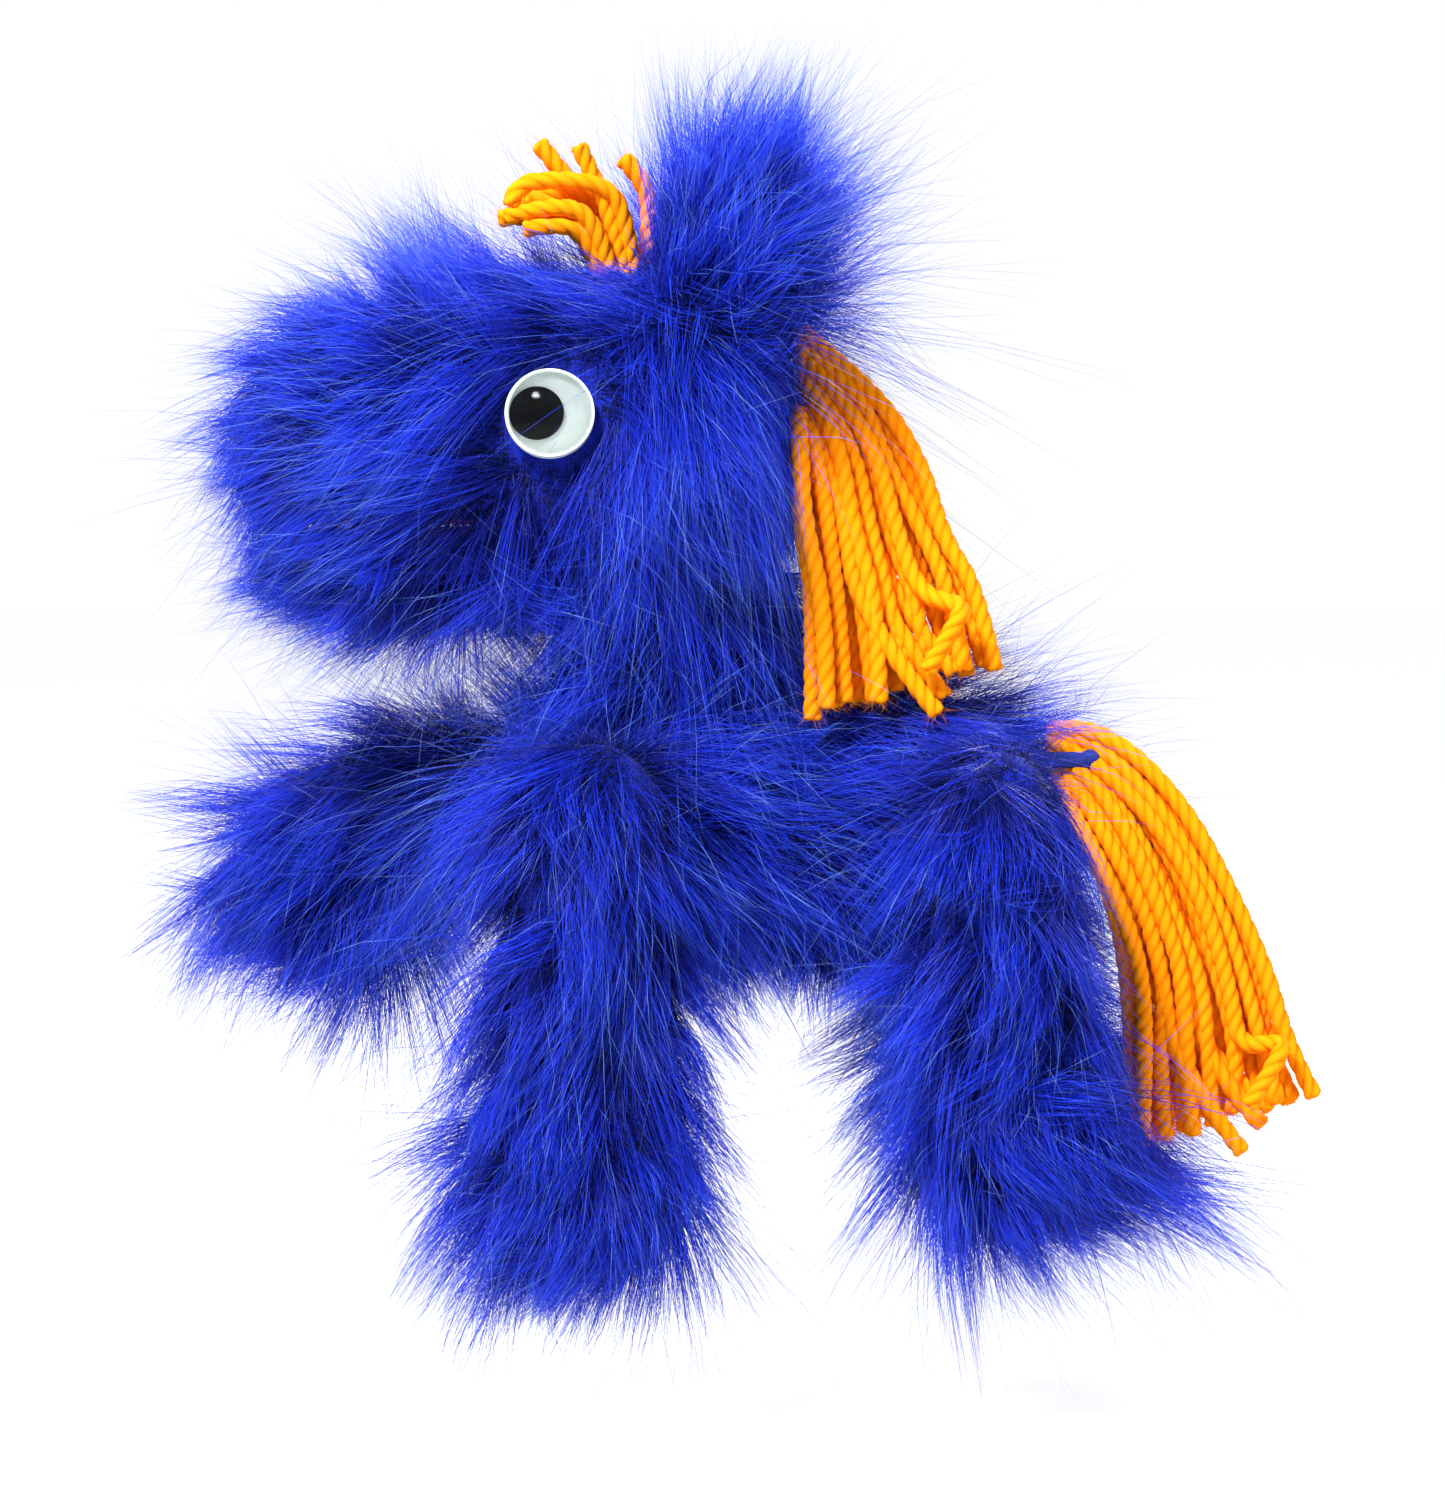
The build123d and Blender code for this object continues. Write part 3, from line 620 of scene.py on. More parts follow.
camera_data = bpy.data.cameras.new("camera")
camera_data.sensor_width = SENSOR
camera_data.lens = SENSOR * VIEW_DISTANCE / VIEW_HEIGHT
camera = bpy.data.objects.new("camera", camera_data)
scene.collection.objects.link(camera)
elevation = math.radians(VIEW_ELEVATION)
camera.location = Vector(VIEW_CENTRE) + VIEW_DISTANCE * Vector((0, -math.cos(elevation), math.sin(elevation)))
camera.rotation_euler = (math.pi / 2 - elevation, 0, 0)
camera_data.clip_start = 0.01
camera_data.clip_end = 100
scene.camera = camera

floor_mat, floor_tree, floor_shader = material("floor", roughness=0.95)
floor_noise = add(floor_tree, "ShaderNodeTexNoise", Scale=3.0, Detail=2.0)
floor_tree.links.new(ramp(floor_tree, floor_noise.outputs["Fac"], [
    (0.3, (0.24, 0.24, 0.24)), (0.7, (0.26, 0.26, 0.26))]), floor_shader.inputs["Base Color"])
floor_shader.inputs["Emission Color"].default_value = (1, 1, 1, 1)
floor_shader.inputs["Emission Strength"].default_value = FLOOR_GLOW
floor_mesh = bpy.data.meshes.new("floor")
FLOOR = 9.0
floor_z = low_limit[2] - 1.5 * MM
floor_mesh.from_pydata([(-FLOOR, -FLOOR, floor_z), (FLOOR, -FLOOR, floor_z), (FLOOR, FLOOR, floor_z),
                        (-FLOOR, FLOOR, floor_z)], [], [(0, 1, 2, 3)])
floor_mesh.materials.append(floor_mat)
floor = bpy.data.objects.new("floor", floor_mesh)
scene.collection.objects.link(floor)

world = bpy.data.worlds.new("studio")
world.use_nodes = True
background = world.node_tree.nodes["Background"]
background.inputs["Color"].default_value = (1.0, 1.0, 1.0, 1)
seen = world.node_tree.nodes.new("ShaderNodeLightPath")
strength = world.node_tree.nodes.new("ShaderNodeMapRange")
strength.inputs["To Min"].default_value = WORLD_LIGHT
strength.inputs["To Max"].default_value = 1.0
world.node_tree.links.new(seen.outputs["Is Camera Ray"], strength.inputs["Value"])
world.node_tree.links.new(strength.outputs["Result"], background.inputs["Strength"])
scene.world = world


def lamp(name, place, target, power, size, colour=(1, 1, 1)):
    data = bpy.data.lights.new(name, "AREA")
    data.energy = power
    data.size = size
    data.color = colour
    obj = bpy.data.objects.new(name, data)
    scene.collection.objects.link(obj)
    obj.location = place
    obj.rotation_euler = (Vector(target) - Vector(place)).to_track_quat("-Z", "Y").to_euler()


lamp("key", (-0.8, -1.2, 1.6), (0, 0, 0.05), 105, 0.4)
lamp("fill", (1.3, -1.3, 0.6), (0, 0, 0.05), 10, 0.9)
lamp("rim", (0.5, 1.4, 1.4), (0, 0, 0.08), 34, 0.5)


# ---------------------------------------------------------------- fillings and linings
COVER_THICKNESS = 3.6 * MM


def filling(name, rods, nodes):
    """What fills a cover: the cover's own form taken in by its cloth, and lumpy."""
    obj = skin(name, rods, STUFFING, voxel=3.2 * MM, smooth=6)
    lumps = bpy.data.textures.new(name, "CLOUDS")
    lumps.noise_scale = 12 * MM
    lump = obj.modifiers.new("lumps", "DISPLACE")
    lump.texture = lumps
    lump.texture_coords = "GLOBAL"
    lump.strength = 1.2 * MM
    lump.mid_level = 1.0
    apply_modifiers(obj)
    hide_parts(*nodes)
    return obj


def taken_in(rods):
    return [(start, end, a - COVER_THICKNESS, b - COVER_THICKNESS) for start, end, a, b in rods]


def grid_faces(rows, columns, closed_rows=False):
    """Triangles of a tube of rows, each of columns points, joined round; and end to end if closed_rows."""
    faces = []
    for row in range(rows if closed_rows else rows - 1):
        following = (row + 1) % rows
        k = np.arange(columns)
        right = (k + 1) % columns
        a, b = row * columns + k, row * columns + right
        c, d = following * columns + right, following * columns + k
        faces += [np.stack([a, b, c], 1), np.stack([a, c, d], 1)]
    return np.concatenate(faces)


def lining_tube(name, stations, thickness, pleats):
    """A sewn tube of lining cloth through stations (centre x, height z, radius), with soft pleats and a lapped seam."""
    columns, rows = 160, 60
    at = np.linspace(0, 1, rows)
    known = np.linspace(0, 1, len(stations))
    x, z, radius = (np.interp(at, known, [s[k] for s in stations]) for k in range(3))
    theta = 2 * math.pi * np.arange(columns) / columns
    fold = np.sin(pleats * theta[None] + 3.0 * at[:, None]) * np.sin(math.pi * at[:, None]) ** 0.5
    lap = np.exp(-((theta[None] - math.pi) / 0.05) ** 2) * 0.35 * MM
    inner = radius[:, None] + (0.35 * fold + 0.35) * MM + lap
    walls = []
    for wall in (inner, (inner + thickness)[::-1]):
        place = (x, z) if wall is inner else (x[::-1], z[::-1])
        walls.append(np.stack([place[0][:, None] + wall * np.cos(theta), wall * np.sin(theta),
                               np.broadcast_to(place[1][:, None], wall.shape)], 2))
    points = np.concatenate(walls).reshape(-1, 3)
    obj = mesh_object(name, points, grid_faces(2 * rows, columns, True), LINING)
    return obj


def hem_band():
    """The rolled tape round the hand opening, with two rows of stitches."""
    low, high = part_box("opening_hem_band")
    outer, half = (high.x - low.x) / 2, (high.z - low.z) / 2
    inner = BORE_RADIUS
    columns, around = 180, 20
    theta = 2 * math.pi * np.arange(columns) / columns
    phi = 2 * math.pi * np.arange(around) / around
    middle, thick = (outer + inner) / 2, (outer - inner) / 2
    squash = lambda c: np.sign(c) * np.abs(c) ** 0.55
    radius = middle + thick * 0.94 * squash(np.cos(phi))
    height = half * 0.96 * squash(np.sin(phi))
    pucker = 1 + 0.012 * np.sin(30 * theta)
    points = np.stack([radius[None] * pucker[:, None] * np.cos(theta)[:, None],
                       radius[None] * pucker[:, None] * np.sin(theta)[:, None],
                       np.broadcast_to(height[None], (columns, around))], 2)
    band = mesh_object("opening_hem", points.reshape(-1, 3), grid_faces(columns, around, True), TAPE)
    stitches = []
    for row in (-0.45, 0.45):
        for k in range(64):
            a, b = 2 * math.pi * (k + 0.15) / 64, 2 * math.pi * (k + 0.8) / 64
            stitches.append([((outer + 0.1 * MM) * math.cos(t), (outer + 0.1 * MM) * math.sin(t), row * half)
                             for t in (a, a + (b - a) / 3, a + (b - a) * 2 / 3, b)])
    paths = np.array(stitches)
    radii = np.full((len(paths), RINGS), 0.28 * MM)
    thread_points, thread_faces = strand_mesh(paths, radii)
    thread = mesh_object("opening_hem_stitches", thread_points, thread_faces, BACKING)
    for obj in (band, thread):
        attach(obj, "torso")
    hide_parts("opening_hem_band")
    SKINS[band.name] = surface_of(band)
    return band, outer


def sewn_strip(name, line, width, thick):
    """A flat tape along the line (in the X-Z plane, width along Y) and its two rows of stitches."""
    line, long = evenly(np.array(line), 0.8 * MM)
    tangent = unit(np.gradient(line, axis=0))
    out = np.cross(np.array([0.0, 1.0, 0.0]), tangent)
    out *= np.sign((out @ np.array([1.0, 0, 0.3])).mean())
    around = 2 * math.pi * np.arange(16) / 16
    squash = lambda c: np.sign(c) * np.abs(c) ** 0.4
    across = squash(np.cos(around)) * width / 2
    height = squash(np.sin(around)) * thick / 2
    rows = line[:, None] + np.array([0, 1.0, 0]) * across[None, :, None] + out[:, None] * height[None, :, None]
    count = len(line)
    points = np.concatenate([rows.reshape(-1, 3), line[:1], line[-1:]])
    k, following = np.arange(16), (np.arange(16) + 1) % 16
    ends = np.concatenate([
        np.stack([np.full(16, count * 16), following, k], 1),
        np.stack([np.full(16, count * 16 + 1), (count - 1) * 16 + k, (count - 1) * 16 + following], 1)])
    strip = mesh_object(name, points, np.concatenate([grid_faces(count, 16), ends]), TAPE)
    paths = []
    for row in (-0.38, 0.38):
        for start in np.arange(0.02, 0.96, 0.05):
            at = (start + np.linspace(0, 0.035, RINGS + 1)) * (count - 1)
            spot = np.stack([np.interp(at, np.arange(count), line[:, i]) for i in range(3)], 1)
            away = np.stack([np.interp(at, np.arange(count), out[:, i]) for i in range(3)], 1)
            paths.append(spot + away * (thick / 2 + 0.1 * MM) + np.array([0, row * width, 0]))
    thread_points, thread_faces = strand_mesh(np.array(paths), np.full((len(paths), RINGS), 0.25 * MM))
    thread = mesh_object(name + "_stitches", thread_points, thread_faces, BACKING)
    return strip, thread


BORE_RADIUS = frame["record"]["mounts"][0]["dims"]["r_mm"] * MM


# ---------------------------------------------------------------- where the yarn hangs
# Rows of ((x, z) of the outer edge, (x, z) of the inner edge), in mm, from the roots to the tips.
MANE_ROWS = (((10, 168.5), (10.5, 146)), ((29, 153), (7, 143)), ((39, 133), (8, 134)), ((48, 113), (10, 118)),
             ((56, 96), (12, 92)), ((64, 77), (13, 64)))
TAIL_ROWS = (((79, 58), (80, 47)), ((91, 61.5), (84, 38)), ((112, 42), (90, 24)), ((130, 12), (97, 6)),
             ((139, -10), (101, -12)), ((146, -30), (101, -34)), ((151, -43), (101, -57)))


def mane_depth(t, share):
    """The inner strands lie over the near side of the head and the outer ones hang behind it."""
    return -5 - 26 * (1 - math.exp(-4 * t)) * (0.3 + 0.7 * share) - 8 * t


def tail_depth(t, share):
    """Folded over the loop on the rump, then bulging to the near side."""
    return -2 - 9 * min(1, 3 * t) * (0.6 + 0.7 * share)


def in_front_of(rows, depth, margin):
    """Says which paths pass over the near side of a hanging bunch of yarn."""
    outer, inner = (np.array([row[k] for row in rows][::-1], float) for k in (0, 1))
    steps = np.linspace(1, 0, len(rows))

    def crosses(path):
        x, y, z = path[..., 0] / MM, path[..., 1] / MM, path[..., 2] / MM
        left = np.interp(z, inner[:, 1], inner[:, 0])
        right = np.interp(z, outer[:, 1], outer[:, 0])
        share = np.clip((right - x) / np.maximum(right - left, 1), 0, 1)
        near, far = (np.interp(z, inner[:, 1], [depth(t, s) for t in steps]) for s in (1.0, 0.0))
        over = (x > left + margin) & (x < right + 6) & (y < far + (near - far) * share + 6)
        return (over & (z < outer[-1, 1] + 4) & (z > inner[0, 1])).any(1)
    return crosses


over_mane = in_front_of(MANE_ROWS, mane_depth, 1.5)
over_tail = in_front_of(TAIL_ROWS, tail_depth, 1.5)


def over_forelock(path):
    x, y, z = path[..., 0] / MM, path[..., 1] / MM, path[..., 2] / MM
    return ((x > -76) & (x < -36) & (z > 187) & (y < 15)).any(1)


def clear_of_yarn(path):
    """True for the strands that don't hide the yarn; a few do."""
    hides = over_mane(path) | over_tail(path) | over_forelock(path)
    return ~(hides & (rng.random(len(path)) < 0.97))


# ---------------------------------------------------------------- torso
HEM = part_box("opening_hem_band")
body_low, body_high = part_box("body_fur_cover")
body_mid = (body_low + body_high) / 2
belly_radius = (body_high.y - body_low.y) / 2
BODY_BALLS = ((-42, 24), (-11.5, 38.5), (23.5, 38.5), (59, 24))
BODY_Z = 35 * MM
body_rods = [((a[0] * MM, 0, BODY_Z), (b[0] * MM, 0, BODY_Z), a[1] * MM, b[1] * MM)
             for a, b in zip(BODY_BALLS, BODY_BALLS[1:])]


def sleeve_hole(p):
    """The hand opening under the belly and the round seat of the neck."""
    opening = (np.hypot(p[:, 0], p[:, 1]) < 32 * MM) & (p[:, 2] < 20 * MM)
    seat = (np.hypot(p[:, 0] + 22 * MM, p[:, 1]) < 27 * MM) & (p[:, 2] > 45 * MM)
    return opening | seat


torso_skin = skin("body_fur_backing", body_rods, BACKING, hole=sleeve_hole)
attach(torso_skin, "torso")
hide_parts("body_fur_cover")
body_filling = filling("body_filling", [
    ((40 * MM, 0, 37 * MM), (59 * MM, 0, BODY_Z), 24 * MM, 20 * MM),
    ((-54 * MM, -7 * MM, 31 * MM), (-54 * MM, 7 * MM, 31 * MM), 7.5 * MM, 7.5 * MM),
], ["body_stuffing"])
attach(body_filling, "torso")
hem, hem_radius = hem_band()
sleeve = lining_tube("hand_sleeve", ((0, 4.2 * MM, BORE_RADIUS), (-11 * MM, 24 * MM, 28.5 * MM),
                                     (-22 * MM, 44.2 * MM, 26.4 * MM)), 0.8 * MM, 11)
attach(sleeve, "torso")
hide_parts("hand_sleeve_lining")


def off_the_opening(p, n):
    """Outside the hand opening and the neck's passage."""
    low_hole = (np.hypot(p[:, 0], p[:, 1]) < 33 * MM) & (p[:, 2] < 20 * MM)
    inside = np.linalg.norm(p - np.array([-11, 0, 24]) * MM, axis=1) < 30 * MM
    rod = (np.hypot(p[:, 0] + 22 * MM, p[:, 1]) < 28 * MM) & (p[:, 2] > 30 * MM)
    under_tail = (p[:, 0] > 68 * MM) & (np.abs(p[:, 1] + 2 * MM) < 9 * MM) & (p[:, 2] > 44 * MM)
    return ~(low_hole | inside | rod | under_tail & (rng.random(len(p)) < 0.9))


def torso_comb(p, n):
    way = np.tile(np.array([1.0, 0, -0.12]), (len(p), 1))
    way[:, 2] -= fade(-n[:, 2], 0.1, 0.8) * 0.5
    return way


def on_side(side):
    return lambda p, n: off_the_opening(p, n) & (p[:, 1] * side >= 0)


for side, name in ((-1, "left"), (1, "right")):
    for layer in ("under", "top"):
        hair = fur(f"body_fur_{name}_{layer}", torso_skin,
                   steady(27 * MM if layer == "under" else 38 * MM), torso_comb,
                   steady(0.22 if layer == "under" else 0.18), on_side(side), avoid=clear_of_yarn)
        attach(hair, "torso")


def hem_keep(p, n):
    return (np.hypot(p[:, 0], p[:, 1]) < 46 * MM) & (p[:, 2] < 26 * MM)


fringe = fur("belly_fur", torso_skin, steady(25 * MM), lambda p, n: np.tile([0.25, 0, -1.0], (len(p), 1)),
             lambda p, n: 0.12 + 0.6 * fade(-n[:, 2], 0.75, 0.95), hem_keep, count=11000, droop=0.5)
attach(fringe, "torso")
hem_fur = fur("hem_fur", hem, steady(17 * MM), lambda p, n: np.tile([0.3, 0, -1.0], (len(p), 1)), steady(0.3),
              lambda p, n: (np.hypot(p[:, 0], p[:, 1]) > hem_radius - 1.2 * MM) & (p[:, 2] > -2 * MM),
              count=6000, droop=0.3)
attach(hem_fur, "torso")

# ---------------------------------------------------------------- neck
NECK_X = -22 * MM
neck_low, neck_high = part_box("neck_fur_cover")
neck_skin = skin("neck_fur_backing", [((NECK_X, 0, 62 * MM), (NECK_X, 0, 96 * MM), 29 * MM, 28.6 * MM)], BACKING,
                 planes=[((0, 0, 50 * MM), (0, 0, 1)), ((0, 0, 114 * MM), (0, 0, 1))],
                 hole=lambda p: (p[:, 2] < 50 * MM) | (p[:, 2] > 114 * MM), cloth=1.4 * MM)
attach(neck_skin, "neck")
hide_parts("neck_fur_cover")
neck_tube = lining_tube("neck_sleeve", ((NECK_X, 47 * MM, 25.6 * MM), (NECK_X, 101 * MM, 25.6 * MM)), 0.7 * MM, 9)
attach(neck_tube, "neck")
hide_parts("neck_lining")


def round_the_neck(p, n):
    return (np.hypot(p[:, 0] - NECK_X, p[:, 1]) > 27.5 * MM) & (p[:, 2] > 50 * MM) & (p[:, 2] < 112 * MM)



def neck_comb(p, n):
    """Down, and away from the middle of the neck at the throat and the nape."""
    way = np.tile(np.array([0.0, 0, -1.0]), (len(p), 1))
    way[:, 0] = 0.3 * fade(p[:, 0], NECK_X, NECK_X + 15 * MM) - 0.6 * fade(-p[:, 0], -NECK_X, -NECK_X + 15 * MM)
    return way


neck_fur = fur("neck_fur", neck_skin, steady(30 * MM), neck_comb,
               lambda p, n: 0.16 + 0.2 * fade(-n[:, 0], 0.3, 0.8), round_the_neck, avoid=clear_of_yarn)
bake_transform(neck_fur)


# ---------------------------------------------------------------- head and jaw
HEAD_Z = 136 * MM
CRANIUM = (-32 * MM, 45 * MM)
MUZZLE = (-104 * MM, 36 * MM)
MOUTH = joint_at("jaw_open")
MOUTH_TOP = MOUTH[2] + 1.9 * MM
CHEEK_X = MOUTH[0] + 4 * MM


def head_hole(p):
    """The mouth, and the round hole that the neck goes in by."""
    mouth = (p[:, 0] < CHEEK_X) & (p[:, 2] < MOUTH_TOP)
    return mouth | (np.hypot(p[:, 0] - NECK_X, p[:, 1]) < 31 * MM) & (p[:, 2] < 118 * MM)


head_skin = skin("head_fur_backing", [((CRANIUM[0], 0, HEAD_Z), (MUZZLE[0], 0, HEAD_Z), CRANIUM[1], MUZZLE[1])],
                 BACKING, planes=[((0, 0, MOUTH_TOP), (0, 0, 1)), ((CHEEK_X, 0, 0), (1, 0, 0))], hole=head_hole)
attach(head_skin, "head")
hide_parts("head_fur_cover")

eyes = {}
for side in ("left", "right"):
    joint = joints[side + "_pupil_roll"]
    eyes[side] = (np.array(joint["pos_m"], float), unit(joint["axis"]))
EYE_RADIUS = 12 * MM


def clear_of_eyes(path):
    """True for the strands that don't pass in front of an eye."""
    good = clear_of_yarn(path)
    finer = np.concatenate([path[:, :-1] + (path[:, 1:] - path[:, :-1]) * t for t in (0, 0.25, 0.5, 0.75)]
                           + [path[:, -1:]], 1)
    for place, out in eyes.values():
        rel = finer - place
        height = rel @ out
        across = np.linalg.norm(rel - height[..., None] * out, axis=2)
        good &= ~((across < EYE_RADIUS + 0.7 * MM + 0.8 * np.maximum(height, 0)) & (height > -3 * MM)).any(1)
    return good


MANE_ROOT = np.array([10 * MM, -13 * MM])


def head_keep(p, n):
    good = ~((p[:, 2] < MOUTH[2] + 2.4 * MM) & (p[:, 0] < MOUTH[0] + 3 * MM))
    good &= np.hypot(p[:, 0] - NECK_X, p[:, 1]) > 28 * MM * (p[:, 2] < 118 * MM)
    under_mane = (p[:, 0] > 1 * MM) & (np.abs(p[:, 1] + 4 * MM) < 9 * MM) & (p[:, 2] > 138 * MM) & (p[:, 2] < 176 * MM)
    good &= ~(under_mane & (rng.random(len(p)) < 0.8))
    for place, out in eyes.values():
        rel = p - place
        across = np.linalg.norm(rel - (rel @ out)[:, None] * out, axis=1)
        good &= ~((across < EYE_RADIUS - 1 * MM) & (rel @ out > -20 * MM))
    return good


def head_comb(p, n):
    muzzle = fade(-p[:, 0], 62 * MM, 92 * MM)[:, None]
    top = fade(n[:, 2], 0.25, 0.8)[:, None]
    back = fade(p[:, 0], -25 * MM, 5 * MM)[:, None]
    cheek = np.array([0.12, 0, -1.0])
    crown = np.array([-0.9, 0, 0.1])
    behind = np.array([0.05, 0, -1.0])
    forward = np.array([-1.0, 0, -0.12])
    way = cheek * (1 - top) + crown * top
    way = way * (1 - back) + behind * back
    way = way * (1 - muzzle) + forward * muzzle
    lip = fade(MOUTH[2] + 15 * MM - p[:, 2], 0, 12 * MM)[:, None] * fade(-p[:, 0], 60 * MM, 72 * MM)[:, None]
    way = way * (1 - 0.7 * lip) + np.array([-0.25, 0, -1.0]) * lip
    throat = (fade(118 * MM - p[:, 2], 0, 8 * MM) * fade(-p[:, 0], 50 * MM, 58 * MM))[:, None]
    way = way * (1 - throat) + np.array([-1.0, 0, -0.4]) * throat
    for place, out in eyes.values():
        rel = p - place
        near = np.exp(-(np.linalg.norm(rel, axis=1) / (17 * MM)) ** 2)[:, None]
        way = way * (1 - near) + unit(rel) * 1.6 * near
    return way


def head_lift(p, n):
    rise = 0.17 + 0.06 * fade(-p[:, 0], 80 * MM, 125 * MM) + 0.22 * fade(n[:, 2], 0.5, 0.95)
    rise += 0.18 * fade(n[:, 2], 0.6, 0.95) * fade(-p[:, 0], 40 * MM, 60 * MM) - 0.1 * fade(p[:, 0], -10 * MM, 5 * MM)
    for place, out in eyes.values():
        rise -= 0.2 * np.exp(-(np.linalg.norm(p - place, axis=1) / (18 * MM)) ** 2)
    return rise


def head_length(p, n):
    size = 40 * MM - 16 * MM * fade(-p[:, 0], 80 * MM, 112 * MM) - 18 * MM * fade(p[:, 0], -12 * MM, 2 * MM)
    for place, out in eyes.values():
        size -= 14 * MM * np.exp(-(np.linalg.norm(p - place, axis=1) / (20 * MM)) ** 2)
    return size


def head_half(side, front):
    def keep(p, n):
        where = p[:, 0] < -62 * MM
        return head_keep(p, n) & (p[:, 1] * side >= 0) & (where if front else ~where)
    return keep


def cheek(side):
    """Behind and above the eye, where the longest hair starts."""
    return lambda p, n: (head_keep(p, n) & (p[:, 1] * side > 16 * MM) & (p[:, 0] > -58 * MM) & (p[:, 0] < -6 * MM)
                         & (p[:, 2] > 150 * MM))


def cheek_comb(p, n):
    """Down from the ear, and forward in front of it."""
    way = np.tile(np.array([0.0, 0, -1.0]), (len(p), 1))
    way[:, 0] = -0.5 * fade(-p[:, 0], 20 * MM, 55 * MM) + 0.1
    return way


for side, name in ((-1, "left"), (1, "right")):
    for front, part in ((True, "muzzle"), (False, "crown")):
        hair = fur(f"{part}_fur_{name}", head_skin, head_length, head_comb, head_lift, head_half(side, front),
                   avoid=clear_of_eyes, tuft_size=LOCK_SIZE)
        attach(hair, "head")
    locks = fur(f"cheek_locks_{name}", head_skin, steady(54 * MM), cheek_comb, steady(0.13), cheek(side),
                count=8000, avoid=clear_of_eyes, wild=0.35, droop=0.3, tuft_size=190)
    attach(locks, "head")

JAW_RADIUS = 35 * MM
JAW_Z = 125 * MM
jaw_low, jaw_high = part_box("jaw_fur_cover")
jaw_skin = skin("jaw_fur_backing", [((MUZZLE[0], 0, JAW_Z), (MOUTH[0] - 4 * MM, 0, JAW_Z), JAW_RADIUS, JAW_RADIUS)],
                BACKING, planes=[((0, 0, MOUTH[2] - 1.9 * MM), (0, 0, 1)), ((jaw_high.x, 0, 0), (1, 0, 0))],
                hole=lambda p: (p[:, 2] > MOUTH[2] - 1.9 * MM) | (p[:, 0] > jaw_high.x))
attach(jaw_skin, "jaw")
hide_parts("jaw_fur_cover")


def jaw_keep(p, n):
    return (p[:, 2] < MOUTH[2] - 2.4 * MM) & (p[:, 0] < jaw_high.x - 1 * MM)


def jaw_comb(p, n):
    """Forward and down; at the back of the jaw, back over the throat."""
    throat = fade(p[:, 0], -92 * MM, -78 * MM)[:, None]
    return np.array([-0.9, 0, -0.45]) * (1 - throat) + np.array([0.9, 0, -0.2]) * throat


jaw_fur = fur("jaw_fur", jaw_skin, lambda p, n: 31 * MM - 9 * MM * fade(-p[:, 0], 85 * MM, 120 * MM), jaw_comb,
              lambda p, n: 0.17 + 0.05 * fade(-p[:, 0], 90 * MM, 125 * MM), jaw_keep, droop=0.2, tuft_size=LOCK_SIZE)
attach(jaw_fur, "jaw")


# ---------------------------------------------------------------- ears
EAR_CORE = 12 * MM
for side, name in ((-1, "left"), (1, "right")):
    foot = np.array([-12 * MM, side * 27 * MM, 171 * MM])
    tip = np.array([-7 * MM, side * 33 * MM, 195 * MM])
    axis = unit(tip - foot)
    ear_skin = skin(f"{name}_ear_backing", [(tuple(foot), tuple(tip), 18 * MM, EAR_CORE)], BACKING)
    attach(ear_skin, "head")
    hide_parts(f"{name}_ear")

    def ear_comb(p, n, foot=foot, axis=axis):
        t = ((p - foot) @ axis)[:, None] / (30 * MM)
        return axis * (1.15 * t - 0.05) + np.array([0.15, 0, 0.0])

    ear_fur = fur(f"{name}_ear_fur", ear_skin, steady(37 * MM), ear_comb, steady(0.36),
                  lambda p, n: p[:, 2] > 165 * MM, avoid=clear_of_yarn, droop=0.05, stray=0.16,
                  tuft_size=LOCK_SIZE)
    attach(ear_fur, "head")


